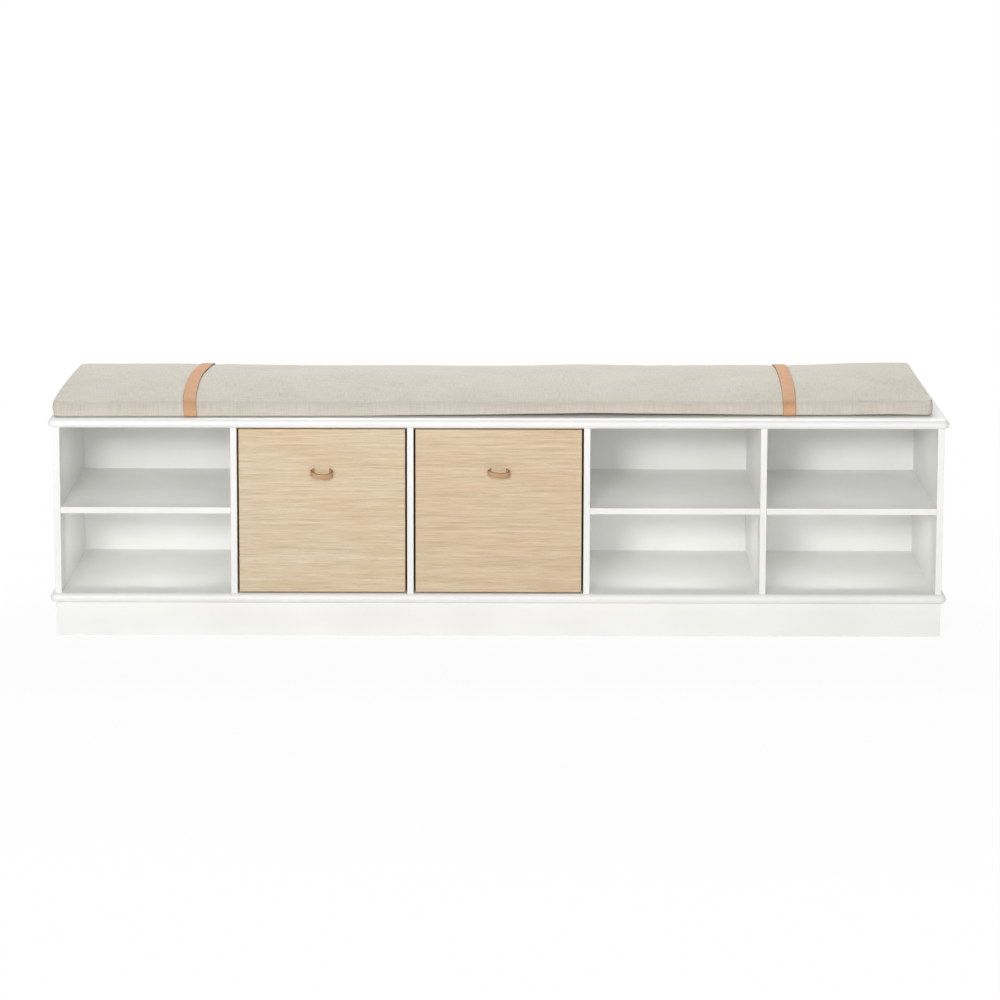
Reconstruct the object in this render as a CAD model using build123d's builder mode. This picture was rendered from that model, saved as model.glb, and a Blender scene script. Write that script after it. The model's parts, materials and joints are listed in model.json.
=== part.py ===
"""Low storage bench: five columns, two pull-out toy boxes, three middle shelves and a seat cushion.

X runs across the bench, -Y is the front, +Z is up. The origin is on the floor, under the middle of the case.
"""
import os
from math import cos, radians, sin

from build123d import *

os.makedirs("parts", exist_ok=True)

# ---------------------------------------------------------------------------------------------
# Driving dimensions (mm)
# ---------------------------------------------------------------------------------------------

# Case
column_count = 5
column_width = 321.0         # clear width between two uprights
column_height = 318.0        # clear height between the boards
column_depth = 366.0         # front edge of an upright to the back panel
shelf_columns = (1, 4, 5)    # counted from the left
panel_thickness = 12.0       # uprights and middle shelves
panel_edge_radius = 1.0
board_thickness = 18.0       # top and bottom boards
board_overhang = 9.0         # past the uprights, at the front and at both ends
board_corner_radius = 12.0   # front corners, seen from above
nosing_land = 0.2            # flat strip left between the two halves of the round edge

# Back panel, let into the rear edges of the case
back_thickness = 6.0
back_lap_on_sides = 6.0
back_lap_on_boards = 8.0
back_edge_gap = 0.4

# Middle shelves, housed in grooves across the uprights
shelf_side_gap = 0.3
shelf_setback = 1.0
shelf_rear_gap = 0.5
housing_depth = 3.0
housing_fit = 0.1            # play of what sits in a groove, each way
housing_stop = 10.0          # the grooves end this far behind the front edges

# Plinth
plinth_height = 64.0
plinth_thickness = 18.0
plinth_inset = 1.0           # behind the outer faces of the case
cross_rail_count = 3
cross_rail_spacing = 400.0
cross_rail_housing = 4.0     # depth of the grooves that hold the cross rails
glue_block_size = 24.0
glue_block_height = 42.0
glue_block_count = 4         # along each long rail
glue_block_inset = 54.0      # from the ends of the case

# Loose tongues that join the uprights to the boards
tongue_thickness = 4.0
tongue_height = 15.0
tongue_inset = 25.0          # from the front and rear ends of an upright

# Toy boxes
toy_box_columns = {"left": 2, "right": 3}
box_side_gap = 3.75          # between the box and each upright
box_top_gap = 3.0
box_lift = 2.5               # between the box and the bottom board
box_setback = 1.0            # front face behind the front edges of the uprights
box_rear_gap = 6.0
box_front_thickness = 12.0
box_wall_thickness = 10.0
box_bottom_thickness = 6.0
box_bottom_height = 9.0      # bottom panel above the lower edge of the walls
box_groove_depth = 5.0
box_groove_fit = 0.1         # play of whatever sits in a groove of the box, each way
box_edge_radius = 1.0
box_tongue_thickness = 4.0   # on the ends of the walls
box_tongue_length = 5.0
box_tongue_inset = 22.0      # from the top and the lower edge
glide_running_gap = 0.2      # between the felt and the bottom board
glide_width = 8.0
glide_inset = 22.0           # from the ends of a wall

# Leather pull loop, one strap with both ends through the front
pull_drop = 79.5             # middle of the slots below the top edge of the front
pull_width = 10.0
pull_thickness = 2.8
pull_slot_spacing = 31.0
pull_slot_gap = 0.2          # round the strap in its slot
pull_slot_ease = 1.2         # rounding of the slot's rear edges, where the strap folds over them
pull_sag = 22.0              # degrees below the horizontal
pull_neck_radius = 11.0      # bend of the middle line where the strap starts to sag
pull_flare_radius = 6.5      # outward bend beside the slot
pull_flare_angle = 45.0
pull_cheek_radius = 4.8      # tight bend at each cheek of the loop
pull_bow_angle = 20.0        # direction left when the long front bow starts
pull_fold_radius = 2.4       # middle line of the fold behind the front
pull_tab_length = 17.0
pull_screw_radius = 1.6
pull_screw_fit = 0.05        # radial play of the screw
pull_screw_end_gap = 0.5
pull_screw_length = 11.0
pull_screw_head_radius = 3.6
pull_screw_head_height = 2.0

# Seat cushion, lying slightly turned on the top board, with two straps round it
cushion_length = 1654.0
cushion_depth = 326.0
cushion_front_height = 27.0  # of the front face, up to its seam
cushion_back_height = 44.0
cushion_front_slope = 31.0   # degrees, of the top panel where it leaves the front seam
cushion_shoulder_turn = 24.0  # degrees of that slope which the shoulder takes off
cushion_shoulder_radius = 120.0
cushion_seam_land = 3.0      # straight part of the top panel beside its seams
cushion_offset_x = -11.0
cushion_offset_y = 14.0
cushion_turn = 0.9           # degrees, right end towards the rear
cushion_rest_gap = 0.3
cushion_corner_radius = 12.0
cushion_bottom_radius = 8.0
cover_thickness = 1.5
foam_gap = 0.3
strap_width = 25.0
strap_thickness = 2.8
strap_gap = 0.3              # between the strap and the cover
strap_from_left_end = 254.5  # middle of the strap from the end of the cushion
strap_from_right_end = 269.5

# ---------------------------------------------------------------------------------------------
# Places that follow from them
# ---------------------------------------------------------------------------------------------

pitch = column_width + panel_thickness
case_width = column_count * pitch + panel_thickness
case_depth = column_depth + back_thickness
board_length = case_width + 2 * board_overhang
board_depth = case_depth + board_overhang
rear_y = board_depth / 2
front_y = rear_y - case_depth
upright_rear_y = front_y + column_depth

floor_z = plinth_height + board_thickness
ceiling_z = floor_z + column_height
seat_z = ceiling_z + board_thickness
shelf_z = floor_z + (column_height - panel_thickness) / 2
nosing_radius = board_thickness / 2 - nosing_land / 2

back_width = case_width - 2 * (panel_thickness - back_lap_on_sides)
back_height = column_height + 2 * back_lap_on_boards


def column_x(column):
    """Middle of a column, counted from 1 at the left."""
    return (column - (column_count + 1) / 2) * pitch


def upright_x(index):
    """Middle of an upright, counted from 0 at the left side to column_count at the right side."""
    return (index - column_count / 2) * pitch


def spread(first, last, count):
    """Evenly spaced values from first to last."""
    return [first + (last - first) * step / (count - 1) for step in range(count)]


def save(piece, label):
    """Name a finished piece and write its STEP file."""
    piece.part.label = label
    export_step(piece.part, f"parts/{label}.step")


tongue_length = column_depth - 2 * tongue_inset
tongue_groove_depth = tongue_height / 2 + housing_fit
tongue_points = [(upright_x(index), front_y + column_depth / 2) for index in range(column_count + 1)]


def tongue_groove(points, z, depth):
    """Cut the grooves of loose tongues, upwards or downwards from a level, into the part being built."""
    with BuildSketch(Plane.XY.offset(z)) as grooves:
        with Locations(*points):
            Rectangle(tongue_thickness + 2 * housing_fit, tongue_length + 2 * housing_fit)
    extrude(grooves.sketch, amount=depth, mode=Mode.SUBTRACT)


def round_holes(points, radius, plane, depth):
    """Cut round holes into the part being built, from a plane and along its normal."""
    with BuildSketch(plane) as mouths:
        with Locations(*points):
            Circle(radius)
    extrude(mouths.sketch, amount=depth, mode=Mode.SUBTRACT)


def pegs(points, radius, plane, length):
    """Add round pegs to the part being built, from a plane and along its normal."""
    with BuildSketch(plane) as ends:
        with Locations(*points):
            Circle(radius)
    extrude(ends.sketch, amount=length)


# ---------------------------------------------------------------------------------------------
# Top and bottom boards
# ---------------------------------------------------------------------------------------------

def round_nosed_board(underside_z):
    """Add a board whose front and ends are half-round; its rear edge stays square."""
    with BuildSketch(Plane.XY.offset(underside_z)) as outline:
        Rectangle(board_length, board_depth)
        fillet(outline.vertices().group_by(Axis.Y)[0], board_corner_radius)
    body = extrude(outline.sketch, amount=board_thickness)
    rims = body.faces().sort_by(Axis.Z)[0].edges() + body.faces().sort_by(Axis.Z)[-1].edges()
    fillet(rims.filter_by_position(Axis.Y, -rear_y, rear_y - back_thickness), nosing_radius)


def back_rabbet(corner_z):
    """Cut the step that takes the edge of the back panel, along the rear of a board."""
    with BuildSketch(Plane.XY.offset(corner_z)) as step:
        with Locations((0, rear_y)):
            Rectangle(back_width, 2 * back_thickness)
    extrude(step.sketch, amount=back_lap_on_boards, mode=Mode.SUBTRACT)


with BuildPart() as top_board:
    round_nosed_board(ceiling_z)
    back_rabbet(ceiling_z)
    tongue_groove(tongue_points, ceiling_z, tongue_groove_depth)
save(top_board, "top_board")

with BuildPart() as bottom_board:
    round_nosed_board(plinth_height)
    back_rabbet(floor_z - back_lap_on_boards)
    tongue_groove(tongue_points, floor_z, -tongue_groove_depth)
save(bottom_board, "bottom_board")

for name, z in (("top", ceiling_z), ("bottom", floor_z)):
    with BuildPart() as tongues:
        with BuildSketch(Plane.XY.offset(z)):
            with Locations(*tongue_points):
                Rectangle(tongue_thickness, tongue_length)
        extrude(amount=tongue_height / 2, both=True)
    save(tongues, f"{name}_tongues")

# ---------------------------------------------------------------------------------------------
# Uprights: two sides and the dividers between the columns
# ---------------------------------------------------------------------------------------------

def shelf_housing(face_x, inwards):
    """Cut the stopped groove of a middle shelf; inwards is +1 or -1, the way into the upright along X."""
    with BuildSketch(Plane.YZ.offset(face_x)) as housing:
        with Locations((front_y + housing_stop - housing_fit, shelf_z - housing_fit)):
            Rectangle(column_depth, panel_thickness + 2 * housing_fit, align=Align.MIN)
    extrude(housing.sketch, amount=inwards * housing_depth, mode=Mode.SUBTRACT)


def upright_blank(index, depth):
    """Add one upright with its rounded front edges, its tongue grooves and its shelf housings."""
    x = upright_x(index)
    with BuildSketch(Plane.XY.offset(floor_z)) as outline:
        with Locations((x, front_y + depth / 2)):
            Rectangle(panel_thickness, depth)
        fillet(outline.vertices().group_by(Axis.Y)[0], panel_edge_radius)
    extrude(outline.sketch, amount=column_height)
    middle = [tongue_points[index]]
    tongue_groove(middle, ceiling_z, -tongue_groove_depth)
    tongue_groove(middle, floor_z, tongue_groove_depth)
    if index in shelf_columns:
        shelf_housing(x - panel_thickness / 2, 1)
    if index + 1 in shelf_columns:
        shelf_housing(x + panel_thickness / 2, -1)


def rear_rabbet(inner_face_x):
    """Cut the step for the back panel out of a side's inner rear corner."""
    with BuildSketch(Plane.XY.offset(floor_z)) as step:
        with Locations((inner_face_x, rear_y)):
            Rectangle(2 * back_lap_on_sides, 2 * back_thickness)
    extrude(step.sketch, amount=column_height, mode=Mode.SUBTRACT)


with BuildPart() as side_left:
    upright_blank(0, case_depth)
    rear_rabbet(upright_x(0) + panel_thickness / 2)
save(side_left, "side_left")

with BuildPart() as side_right:
    upright_blank(column_count, case_depth)
    rear_rabbet(upright_x(column_count) - panel_thickness / 2)
save(side_right, "side_right")

for index in range(1, column_count):
    with BuildPart() as divider:
        upright_blank(index, column_depth)
    save(divider, f"divider_{index}")

# ---------------------------------------------------------------------------------------------
# Middle shelves and back panel
# ---------------------------------------------------------------------------------------------

shelf_width = column_width - 2 * shelf_side_gap
shelf_depth = column_depth - shelf_setback - shelf_rear_gap
shelf_housed_width = column_width + 2 * (housing_depth - housing_fit)
shelf_housed_depth = shelf_depth + shelf_setback - housing_stop

for column in shelf_columns:
    with BuildPart() as shelf:
        with BuildSketch(Plane.XY.offset(shelf_z)):
            with Locations((column_x(column), front_y + shelf_setback + shelf_depth / 2)):
                Rectangle(shelf_width, shelf_depth)
            with Locations((column_x(column), front_y + housing_stop + shelf_housed_depth / 2)):
                Rectangle(shelf_housed_width, shelf_housed_depth)
        extrude(amount=panel_thickness)
        fillet(shelf.faces().sort_by(Axis.Y)[0].edges().filter_by(Axis.X), panel_edge_radius)
    save(shelf, f"shelf_{column}")

with BuildPart() as back_panel:
    with BuildSketch(Plane.XZ.offset(-rear_y)):
        with Locations((0, floor_z + column_height / 2)):
            Rectangle(back_width - 2 * back_edge_gap, back_height - 2 * back_edge_gap)
    extrude(amount=back_thickness)
save(back_panel, "back_panel")

# ---------------------------------------------------------------------------------------------
# Plinth: mitred front corners, a back rail between the end rails, and cross rails
# ---------------------------------------------------------------------------------------------

plinth_half = case_width / 2 - plinth_inset
plinth_front_y = front_y + plinth_inset
plinth_rear_y = rear_y - plinth_inset
front_rail_inner_y = plinth_front_y + plinth_thickness
back_rail_inner_y = plinth_rear_y - plinth_thickness
cross_rail_length = back_rail_inner_y - front_rail_inner_y + 2 * (cross_rail_housing - housing_fit)
cross_rail_reach = cross_rail_spacing * (cross_rail_count - 1) / 2
cross_rail_xs = spread(-cross_rail_reach, cross_rail_reach, cross_rail_count)
block_reach = case_width / 2 - glue_block_inset
block_ys = (front_rail_inner_y + glue_block_size / 2, back_rail_inner_y - glue_block_size / 2)
block_points = [(x, y) for x in spread(-block_reach, block_reach, glue_block_count) for y in block_ys]


def cross_rail_grooves(inner_y):
    """Cut the upright grooves that hold the ends of the cross rails into a long rail."""
    with BuildSketch(Plane.XY) as grooves:
        with Locations(*[(x, inner_y) for x in cross_rail_xs]):
            Rectangle(plinth_thickness + 2 * housing_fit, 2 * cross_rail_housing)
    extrude(grooves.sketch, amount=plinth_height, mode=Mode.SUBTRACT)


with BuildPart() as plinth_front:
    with BuildSketch(Plane.XY):
        with BuildLine():
            Polyline((-plinth_half, plinth_front_y), (plinth_half, plinth_front_y),
                     (plinth_half - plinth_thickness, front_rail_inner_y),
                     (-plinth_half + plinth_thickness, front_rail_inner_y), close=True)
        make_face()
    extrude(amount=plinth_height)
    cross_rail_grooves(front_rail_inner_y)
save(plinth_front, "plinth_front")

with BuildPart() as plinth_back:
    with BuildSketch(Plane.XY):
        with Locations((0, plinth_rear_y - plinth_thickness / 2)):
            Rectangle(2 * (plinth_half - plinth_thickness), plinth_thickness)
    extrude(amount=plinth_height)
    cross_rail_grooves(back_rail_inner_y)
save(plinth_back, "plinth_back")

for name, side in (("left", -1), ("right", 1)):
    with BuildPart() as plinth_end:
        with BuildSketch(Plane.XY):
            with BuildLine():
                Polyline((side * plinth_half, plinth_front_y), (side * plinth_half, plinth_rear_y),
                         (side * (plinth_half - plinth_thickness), plinth_rear_y),
                         (side * (plinth_half - plinth_thickness), front_rail_inner_y), close=True)
            make_face()
        extrude(amount=plinth_height)
    save(plinth_end, f"plinth_end_{name}")

for number, x in enumerate(cross_rail_xs, start=1):
    with BuildPart() as cross_rail:
        with BuildSketch(Plane.XY):
            with Locations((x, (front_rail_inner_y + back_rail_inner_y) / 2)):
                Rectangle(plinth_thickness, cross_rail_length)
        extrude(amount=plinth_height)
    save(cross_rail, f"plinth_cross_rail_{number}")

with BuildPart() as plinth_glue_blocks:
    with BuildSketch(Plane.XY.offset(plinth_height - glue_block_height)):
        with Locations(*block_points):
            Rectangle(glue_block_size, glue_block_size)
    extrude(amount=glue_block_height)
save(plinth_glue_blocks, "plinth_glue_blocks")

# ---------------------------------------------------------------------------------------------
# Toy boxes
# ---------------------------------------------------------------------------------------------

box_width = column_width - 2 * box_side_gap
box_height = column_height - box_top_gap - box_lift
box_front_y = front_y + box_setback
box_inner_front_y = box_front_y + box_front_thickness
box_rear_y = upright_rear_y - box_rear_gap
box_z = floor_z + box_lift
box_wall_length = box_rear_y - box_inner_front_y
box_inner_width = box_width - 2 * box_wall_thickness
pull_z = box_z + box_height - pull_drop
box_tongue_z = box_z + box_tongue_inset
box_tongue_height = box_height - 2 * box_tongue_inset
box_inner_rear_y = box_rear_y - box_wall_thickness
groove_height = box_bottom_thickness + 2 * box_groove_fit
groove_z = box_z + box_bottom_height - box_groove_fit
groove_reach = box_groove_depth + box_groove_fit
box_inner_depth = box_inner_rear_y - box_inner_front_y
box_mid_y = (box_inner_front_y + box_inner_rear_y) / 2
wall_offset = (box_width - box_wall_thickness) / 2
back_wall_y = box_inner_rear_y + box_wall_thickness / 2
pull_tab_y = box_inner_front_y + pull_thickness / 2
pull_screw_x = pull_slot_spacing / 2 + pull_fold_radius + pull_tab_length / 2
pull_screw_start_y = box_inner_front_y + pull_thickness
pull_screw_in_front = pull_screw_length - pull_thickness


def bottom_groove(x):
    """Cut the groove of the bottom panel out of whichever wall of the box at x is being built."""
    with BuildSketch(Plane.XY.offset(groove_z)) as groove:
        with Locations((x, box_mid_y)):
            Rectangle(box_inner_width + 2 * groove_reach, box_inner_depth + 2 * groove_reach)
    extrude(groove.sketch, amount=groove_height, mode=Mode.SUBTRACT)


def box_tongues(size, points):
    """Add the stopped tongues on the ends of a wall of the box; size is along X and Y."""
    with BuildSketch(Plane.XY.offset(box_tongue_z)) as tongues:
        with Locations(*points):
            Rectangle(*size)
    extrude(tongues.sketch, amount=box_tongue_height)


def box_tongue_grooves(size, points):
    """Cut the grooves that take such tongues; size is along X and Y."""
    with BuildSketch(Plane.XY.offset(box_tongue_z - box_groove_fit)) as grooves:
        with Locations(*points):
            Rectangle(size[0] + 2 * box_groove_fit, size[1] + 2 * box_groove_fit)
    extrude(grooves.sketch, amount=box_tongue_height + 2 * box_groove_fit, mode=Mode.SUBTRACT)


def facing(direction, x, y):
    """A vertical plane at x, y whose normal points along +Y or -Y; its own +Y is +Z."""
    return Plane(origin=(x, y, 0), x_dir=(-direction, 0, 0), z_dir=(0, direction, 0))


def pull_half(x):
    """Add the right-hand half of a pull loop, for the box at x, to the part being built.

    It starts as a tab folded flat behind the front, runs through its slot, dips by the angle of sag,
    flares out to one cheek of the loop and bows back to the middle.
    """
    slot_x = pull_slot_spacing / 2
    with BuildSketch(Plane((x, 0, pull_z))) as tail:
        with BuildLine() as tail_line:
            through = Line((slot_x, box_front_y), (slot_x, pull_tab_y - pull_fold_radius))
            fold = JernArc(through @ 1, through % 1, pull_fold_radius, -90)
            Line(fold @ 1, fold @ 1 + (pull_tab_length, 0))
        trace(tail_line.line, line_width=pull_thickness)
    extrude(tail.sketch, amount=pull_width / 2, both=True)
    with BuildSketch(Plane((x + slot_x, box_front_y, pull_z), x_dir=(1, 0, 0), z_dir=(0, -1, 0))) as neck:
        Rectangle(pull_thickness, pull_width)
    neck_axis = Axis((x, box_front_y, pull_z - pull_neck_radius), (1, 0, 0))
    revolve(neck.sketch, axis=neck_axis, revolution_arc=pull_sag)
    sag = radians(pull_sag)
    loop_start = (x, box_front_y - pull_neck_radius * sin(sag), pull_z - pull_neck_radius * (1 - cos(sag)))
    with BuildSketch(Plane(loop_start, x_dir=(1, 0, 0), z_dir=(0, sin(sag), -cos(sag)))) as bow:
        with BuildLine() as bow_line:
            flare = JernArc((slot_x, 0), (0, 1), pull_flare_radius, -pull_flare_angle)
            cheek = JernArc(flare @ 1, flare % 1, pull_cheek_radius, pull_flare_angle + 90 - pull_bow_angle)
            JernArc(cheek @ 1, cheek % 1, (cheek @ 1).X / sin(radians(pull_bow_angle)), pull_bow_angle)
        trace(bow_line.line, line_width=pull_thickness)
    extrude(bow.sketch, amount=pull_width / 2, both=True)


def toy_box(side, x):
    """Build every piece of one toy box, whose middle is at x."""
    wall_places = {"left": x - wall_offset, "right": x + wall_offset}
    front_tongue_size = (box_tongue_thickness, 2 * box_tongue_length)
    front_tongue_points = [(wall_x, box_inner_front_y) for wall_x in wall_places.values()]
    rear_tongue_size = (2 * box_tongue_length, box_tongue_thickness)
    rear_tongue_points = [(x + hand * box_inner_width / 2, back_wall_y) for hand in (-1, 1)]
    slot_points = [(-pull_slot_spacing / 2, pull_z), (pull_slot_spacing / 2, pull_z)]
    screw_points = [(-pull_screw_x, pull_z), (pull_screw_x, pull_z)]

    with BuildPart() as front:
        with BuildSketch(facing(-1, x, box_front_y)):
            with Locations((0, box_z + box_height / 2)):
                Rectangle(box_width, box_height)
        extrude(amount=-box_front_thickness)
        fillet(front.faces().sort_by(Axis.Y)[0].edges(), box_edge_radius)
        with BuildSketch(facing(-1, x, box_inner_front_y)):
            with Locations(*slot_points):
                Rectangle(pull_thickness + 2 * pull_slot_gap, pull_width + 2 * pull_slot_gap)
        extrude(amount=box_front_thickness, mode=Mode.SUBTRACT)
        slot_mouths = front.faces().sort_by(Axis.Y)[-1].inner_wires()
        fillet(slot_mouths.edges().filter_by(Axis.Z), pull_slot_ease)
        bottom_groove(x)
        box_tongue_grooves(front_tongue_size, front_tongue_points)
        round_holes(screw_points, pull_screw_radius + pull_screw_fit, facing(-1, x, box_inner_front_y),
                    pull_screw_in_front + pull_screw_end_gap)
    save(front, f"toy_box_{side}_front")

    for hand, wall_x in wall_places.items():
        with BuildPart() as wall:
            with BuildSketch(Plane.XY.offset(box_z)):
                with Locations((wall_x, (box_inner_front_y + box_rear_y) / 2)):
                    Rectangle(box_wall_thickness, box_wall_length)
            extrude(amount=box_height)
            fillet(wall.faces().sort_by(Axis.Z)[-1].edges().filter_by(Axis.Y), box_edge_radius)
            bottom_groove(x)
            box_tongue_grooves(rear_tongue_size, rear_tongue_points)
            box_tongues(front_tongue_size, [(wall_x, box_inner_front_y)])
        save(wall, f"toy_box_{side}_{hand}_wall")

    with BuildPart() as back:
        with BuildSketch(Plane.XY.offset(box_z)):
            with Locations((x, back_wall_y)):
                Rectangle(box_inner_width, box_wall_thickness)
        extrude(amount=box_height)
        fillet(back.faces().sort_by(Axis.Z)[-1].edges().filter_by(Axis.X), box_edge_radius)
        bottom_groove(x)
        box_tongues(rear_tongue_size, rear_tongue_points)
    save(back, f"toy_box_{side}_back_wall")

    with BuildPart() as bottom:
        with BuildSketch(Plane.XY.offset(box_z + box_bottom_height)):
            with Locations((x, box_mid_y)):
                Rectangle(box_inner_width + 2 * box_groove_depth, box_inner_depth + 2 * box_groove_depth)
        extrude(amount=box_bottom_thickness)
    save(bottom, f"toy_box_{side}_bottom")

    with BuildPart() as glides:
        with BuildSketch(Plane.XY.offset(box_z)):
            with Locations(*[(wall_x, (box_inner_front_y + box_rear_y) / 2) for wall_x in wall_places.values()]):
                Rectangle(glide_width, box_wall_length - 2 * glide_inset)
        extrude(amount=-(box_lift - glide_running_gap))
    save(glides, f"toy_box_{side}_felt_glides")

    with BuildPart() as pull:
        pull_half(x)
        mirror(about=Plane.YZ.offset(x))
        round_holes(screw_points, pull_screw_radius + pull_screw_fit, facing(-1, x, pull_screw_start_y),
                    pull_thickness)
    save(pull, f"toy_box_{side}_pull_loop")

    with BuildPart() as pull_screws:
        pegs(screw_points, pull_screw_radius, facing(-1, x, pull_screw_start_y), pull_screw_length)
        pegs(screw_points, pull_screw_head_radius, facing(1, x, pull_screw_start_y), pull_screw_head_height)
    save(pull_screws, f"toy_box_{side}_pull_screws")


for box_side, box_column in toy_box_columns.items():
    toy_box(box_side, column_x(box_column))

# ---------------------------------------------------------------------------------------------
# Seat cushion and its straps
# ---------------------------------------------------------------------------------------------

turn = radians(cushion_turn)
along = Vector(cos(turn), sin(turn), 0)
cushion_origin = Vector(cushion_offset_x, cushion_offset_y, seat_z + cushion_rest_gap)
strap_places = {
    "left": strap_from_left_end - cushion_length / 2,
    "right": cushion_length / 2 - strap_from_right_end,
}


def strap_plane(place):
    """The upright plane across the cushion at one strap; its own X runs to the rear, its own Y up."""
    return Plane(cushion_origin + along * place, x_dir=Vector(-sin(turn), cos(turn), 0), z_dir=along)


def crown_outline(growth, overrun=0.0):
    """Draw the cushion's section, grown all round by some millimetres, into the sketch being built.

    Front and back faces rise to their seams, and the top panel is crowned between them. With an
    overrun, the top panel runs straight on past both seams by that length, and the faces move out with it.
    """
    slope = Vector(cos(radians(cushion_front_slope)), sin(radians(cushion_front_slope)))
    front_bend = Vector(-cushion_depth / 2, cushion_front_height) + slope * cushion_seam_land
    back_bend = Vector(cushion_depth / 2 - cushion_seam_land, cushion_back_height)
    with BuildLine() as outline:
        shoulder = JernArc(front_bend, slope, cushion_shoulder_radius, -cushion_shoulder_turn)
        crown = TangentArc(shoulder @ 1, back_bend, tangent=shoulder % 1)
        fall = crown % 1
        front_top = front_bend - slope * (cushion_seam_land + overrun)
        back_top = back_bend + fall * (cushion_seam_land / fall.X + overrun)
        Line(front_top, front_bend)
        Line(back_bend, back_top)
        Polyline(front_top, (front_top.X, 0), (back_top.X, 0), back_top)
    face = make_face(outline.edges(), mode=Mode.PRIVATE)
    add(offset(face, amount=growth, mode=Mode.PRIVATE) if growth else face)


def cushion_body(inset, ease):
    """Make the cushion's form, shrunk by an inset: crowned on top, with a channel below for each strap.

    ease is fillet or chamfer; either one takes the lower edges and upright corners off within the
    same distances.
    """
    channel_height = strap_thickness + strap_gap + inset
    with BuildPart(mode=Mode.PRIVATE) as body:
        with BuildSketch(Plane(cushion_origin + (0, 0, inset), x_dir=along, z_dir=(0, 0, 1))) as outline:
            Rectangle(cushion_length - 2 * inset, cushion_depth - 2 * inset)
            ease(outline.vertices(), cushion_corner_radius - inset)
        extrude(amount=2 * cushion_back_height)
        ease(body.faces().sort_by(Axis.Z)[0].edges(), cushion_bottom_radius - inset)
        with BuildSketch(strap_plane(0)):
            crown_outline(-inset, overrun=cushion_bottom_radius)
        crown = extrude(amount=cushion_length, both=True, mode=Mode.PRIVATE)
        add(crown, mode=Mode.INTERSECT)
        for place in strap_places.values():
            with BuildSketch(strap_plane(place)):
                Rectangle(2 * cushion_depth, channel_height, align=(Align.CENTER, Align.MIN))
            extrude(amount=strap_width / 2 + strap_gap + inset, both=True, mode=Mode.SUBTRACT)
    return body.part


with BuildPart() as cushion_cover:
    add(cushion_body(0, fillet))
    add(cushion_body(cover_thickness, fillet), mode=Mode.SUBTRACT)
save(cushion_cover, "cushion_cover")

with BuildPart() as cushion_foam:
    add(cushion_body(cover_thickness + foam_gap, chamfer))
save(cushion_foam, "cushion_foam")

for strap_side, place in strap_places.items():
    with BuildPart() as strap:
        with BuildSketch(strap_plane(place)) as band:
            crown_outline(strap_gap + strap_thickness)
            Rectangle(2 * cushion_depth, cushion_back_height, align=(Align.CENTER, Align.MAX), mode=Mode.SUBTRACT)
            with BuildSketch(mode=Mode.PRIVATE) as hole:
                crown_outline(strap_gap)
                Rectangle(2 * cushion_depth, 2 * strap_thickness, mode=Mode.SUBTRACT)
            add(hole.sketch, mode=Mode.SUBTRACT)
        extrude(band.sketch, amount=strap_width / 2, both=True)
    save(strap, f"cushion_strap_{strap_side}")
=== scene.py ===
"""Looks of a low storage bench with two pull-out toy boxes and a seat cushion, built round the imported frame."""
import json
import logging
import math
from dataclasses import dataclass, field
from enum import Enum
from functools import partial
from typing import Callable, Iterable

import bmesh
import bpy
import numpy as np
from mathutils import Matrix, Vector
from mathutils.bvhtree import BVHTree

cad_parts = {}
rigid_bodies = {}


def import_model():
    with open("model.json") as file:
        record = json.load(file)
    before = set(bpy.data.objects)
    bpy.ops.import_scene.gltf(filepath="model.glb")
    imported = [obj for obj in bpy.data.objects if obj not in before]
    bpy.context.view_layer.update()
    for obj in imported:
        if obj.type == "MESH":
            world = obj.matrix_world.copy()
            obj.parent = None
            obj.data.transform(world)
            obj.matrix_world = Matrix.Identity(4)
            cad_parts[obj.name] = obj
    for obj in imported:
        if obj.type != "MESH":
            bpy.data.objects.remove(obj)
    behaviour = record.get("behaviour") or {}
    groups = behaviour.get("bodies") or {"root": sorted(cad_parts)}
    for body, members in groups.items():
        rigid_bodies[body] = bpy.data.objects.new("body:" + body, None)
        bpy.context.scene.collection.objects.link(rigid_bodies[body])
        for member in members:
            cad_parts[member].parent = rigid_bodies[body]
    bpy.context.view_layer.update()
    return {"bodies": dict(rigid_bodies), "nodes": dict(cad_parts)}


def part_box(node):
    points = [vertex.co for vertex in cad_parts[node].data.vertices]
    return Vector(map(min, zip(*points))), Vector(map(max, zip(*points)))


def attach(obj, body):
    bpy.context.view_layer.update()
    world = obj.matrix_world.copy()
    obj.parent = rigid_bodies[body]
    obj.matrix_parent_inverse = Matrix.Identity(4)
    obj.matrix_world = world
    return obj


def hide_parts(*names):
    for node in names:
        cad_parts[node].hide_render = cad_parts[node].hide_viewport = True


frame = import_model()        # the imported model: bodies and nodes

log = logging.getLogger("bench")

MM = 0.001
ALONG, UP = Vector((1, 0, 0)), Vector((0, 0, 1))
Material, Piece = bpy.types.Material, bpy.types.Object
Socket, Tree = bpy.types.NodeSocket, bpy.types.NodeTree
Triple = tuple[float, float, float]
Table = tuple[tuple[float, float], ...]


# --- Small helpers for node trees ---

def linear(colour: str) -> tuple[float, ...]:
    """Turn an sRGB hex colour into linear RGBA.

    Args:
        colour: six hex digits after a hash.
    Returns:
        The linear colour, with alpha 1.
    """
    channels = [int(colour[i:i + 2], 16) / 255 for i in (1, 3, 5)]
    return (*[c / 12.92 if c <= 0.04045 else ((c + 0.055) / 1.055) ** 2.4 for c in channels], 1.0)


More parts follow.
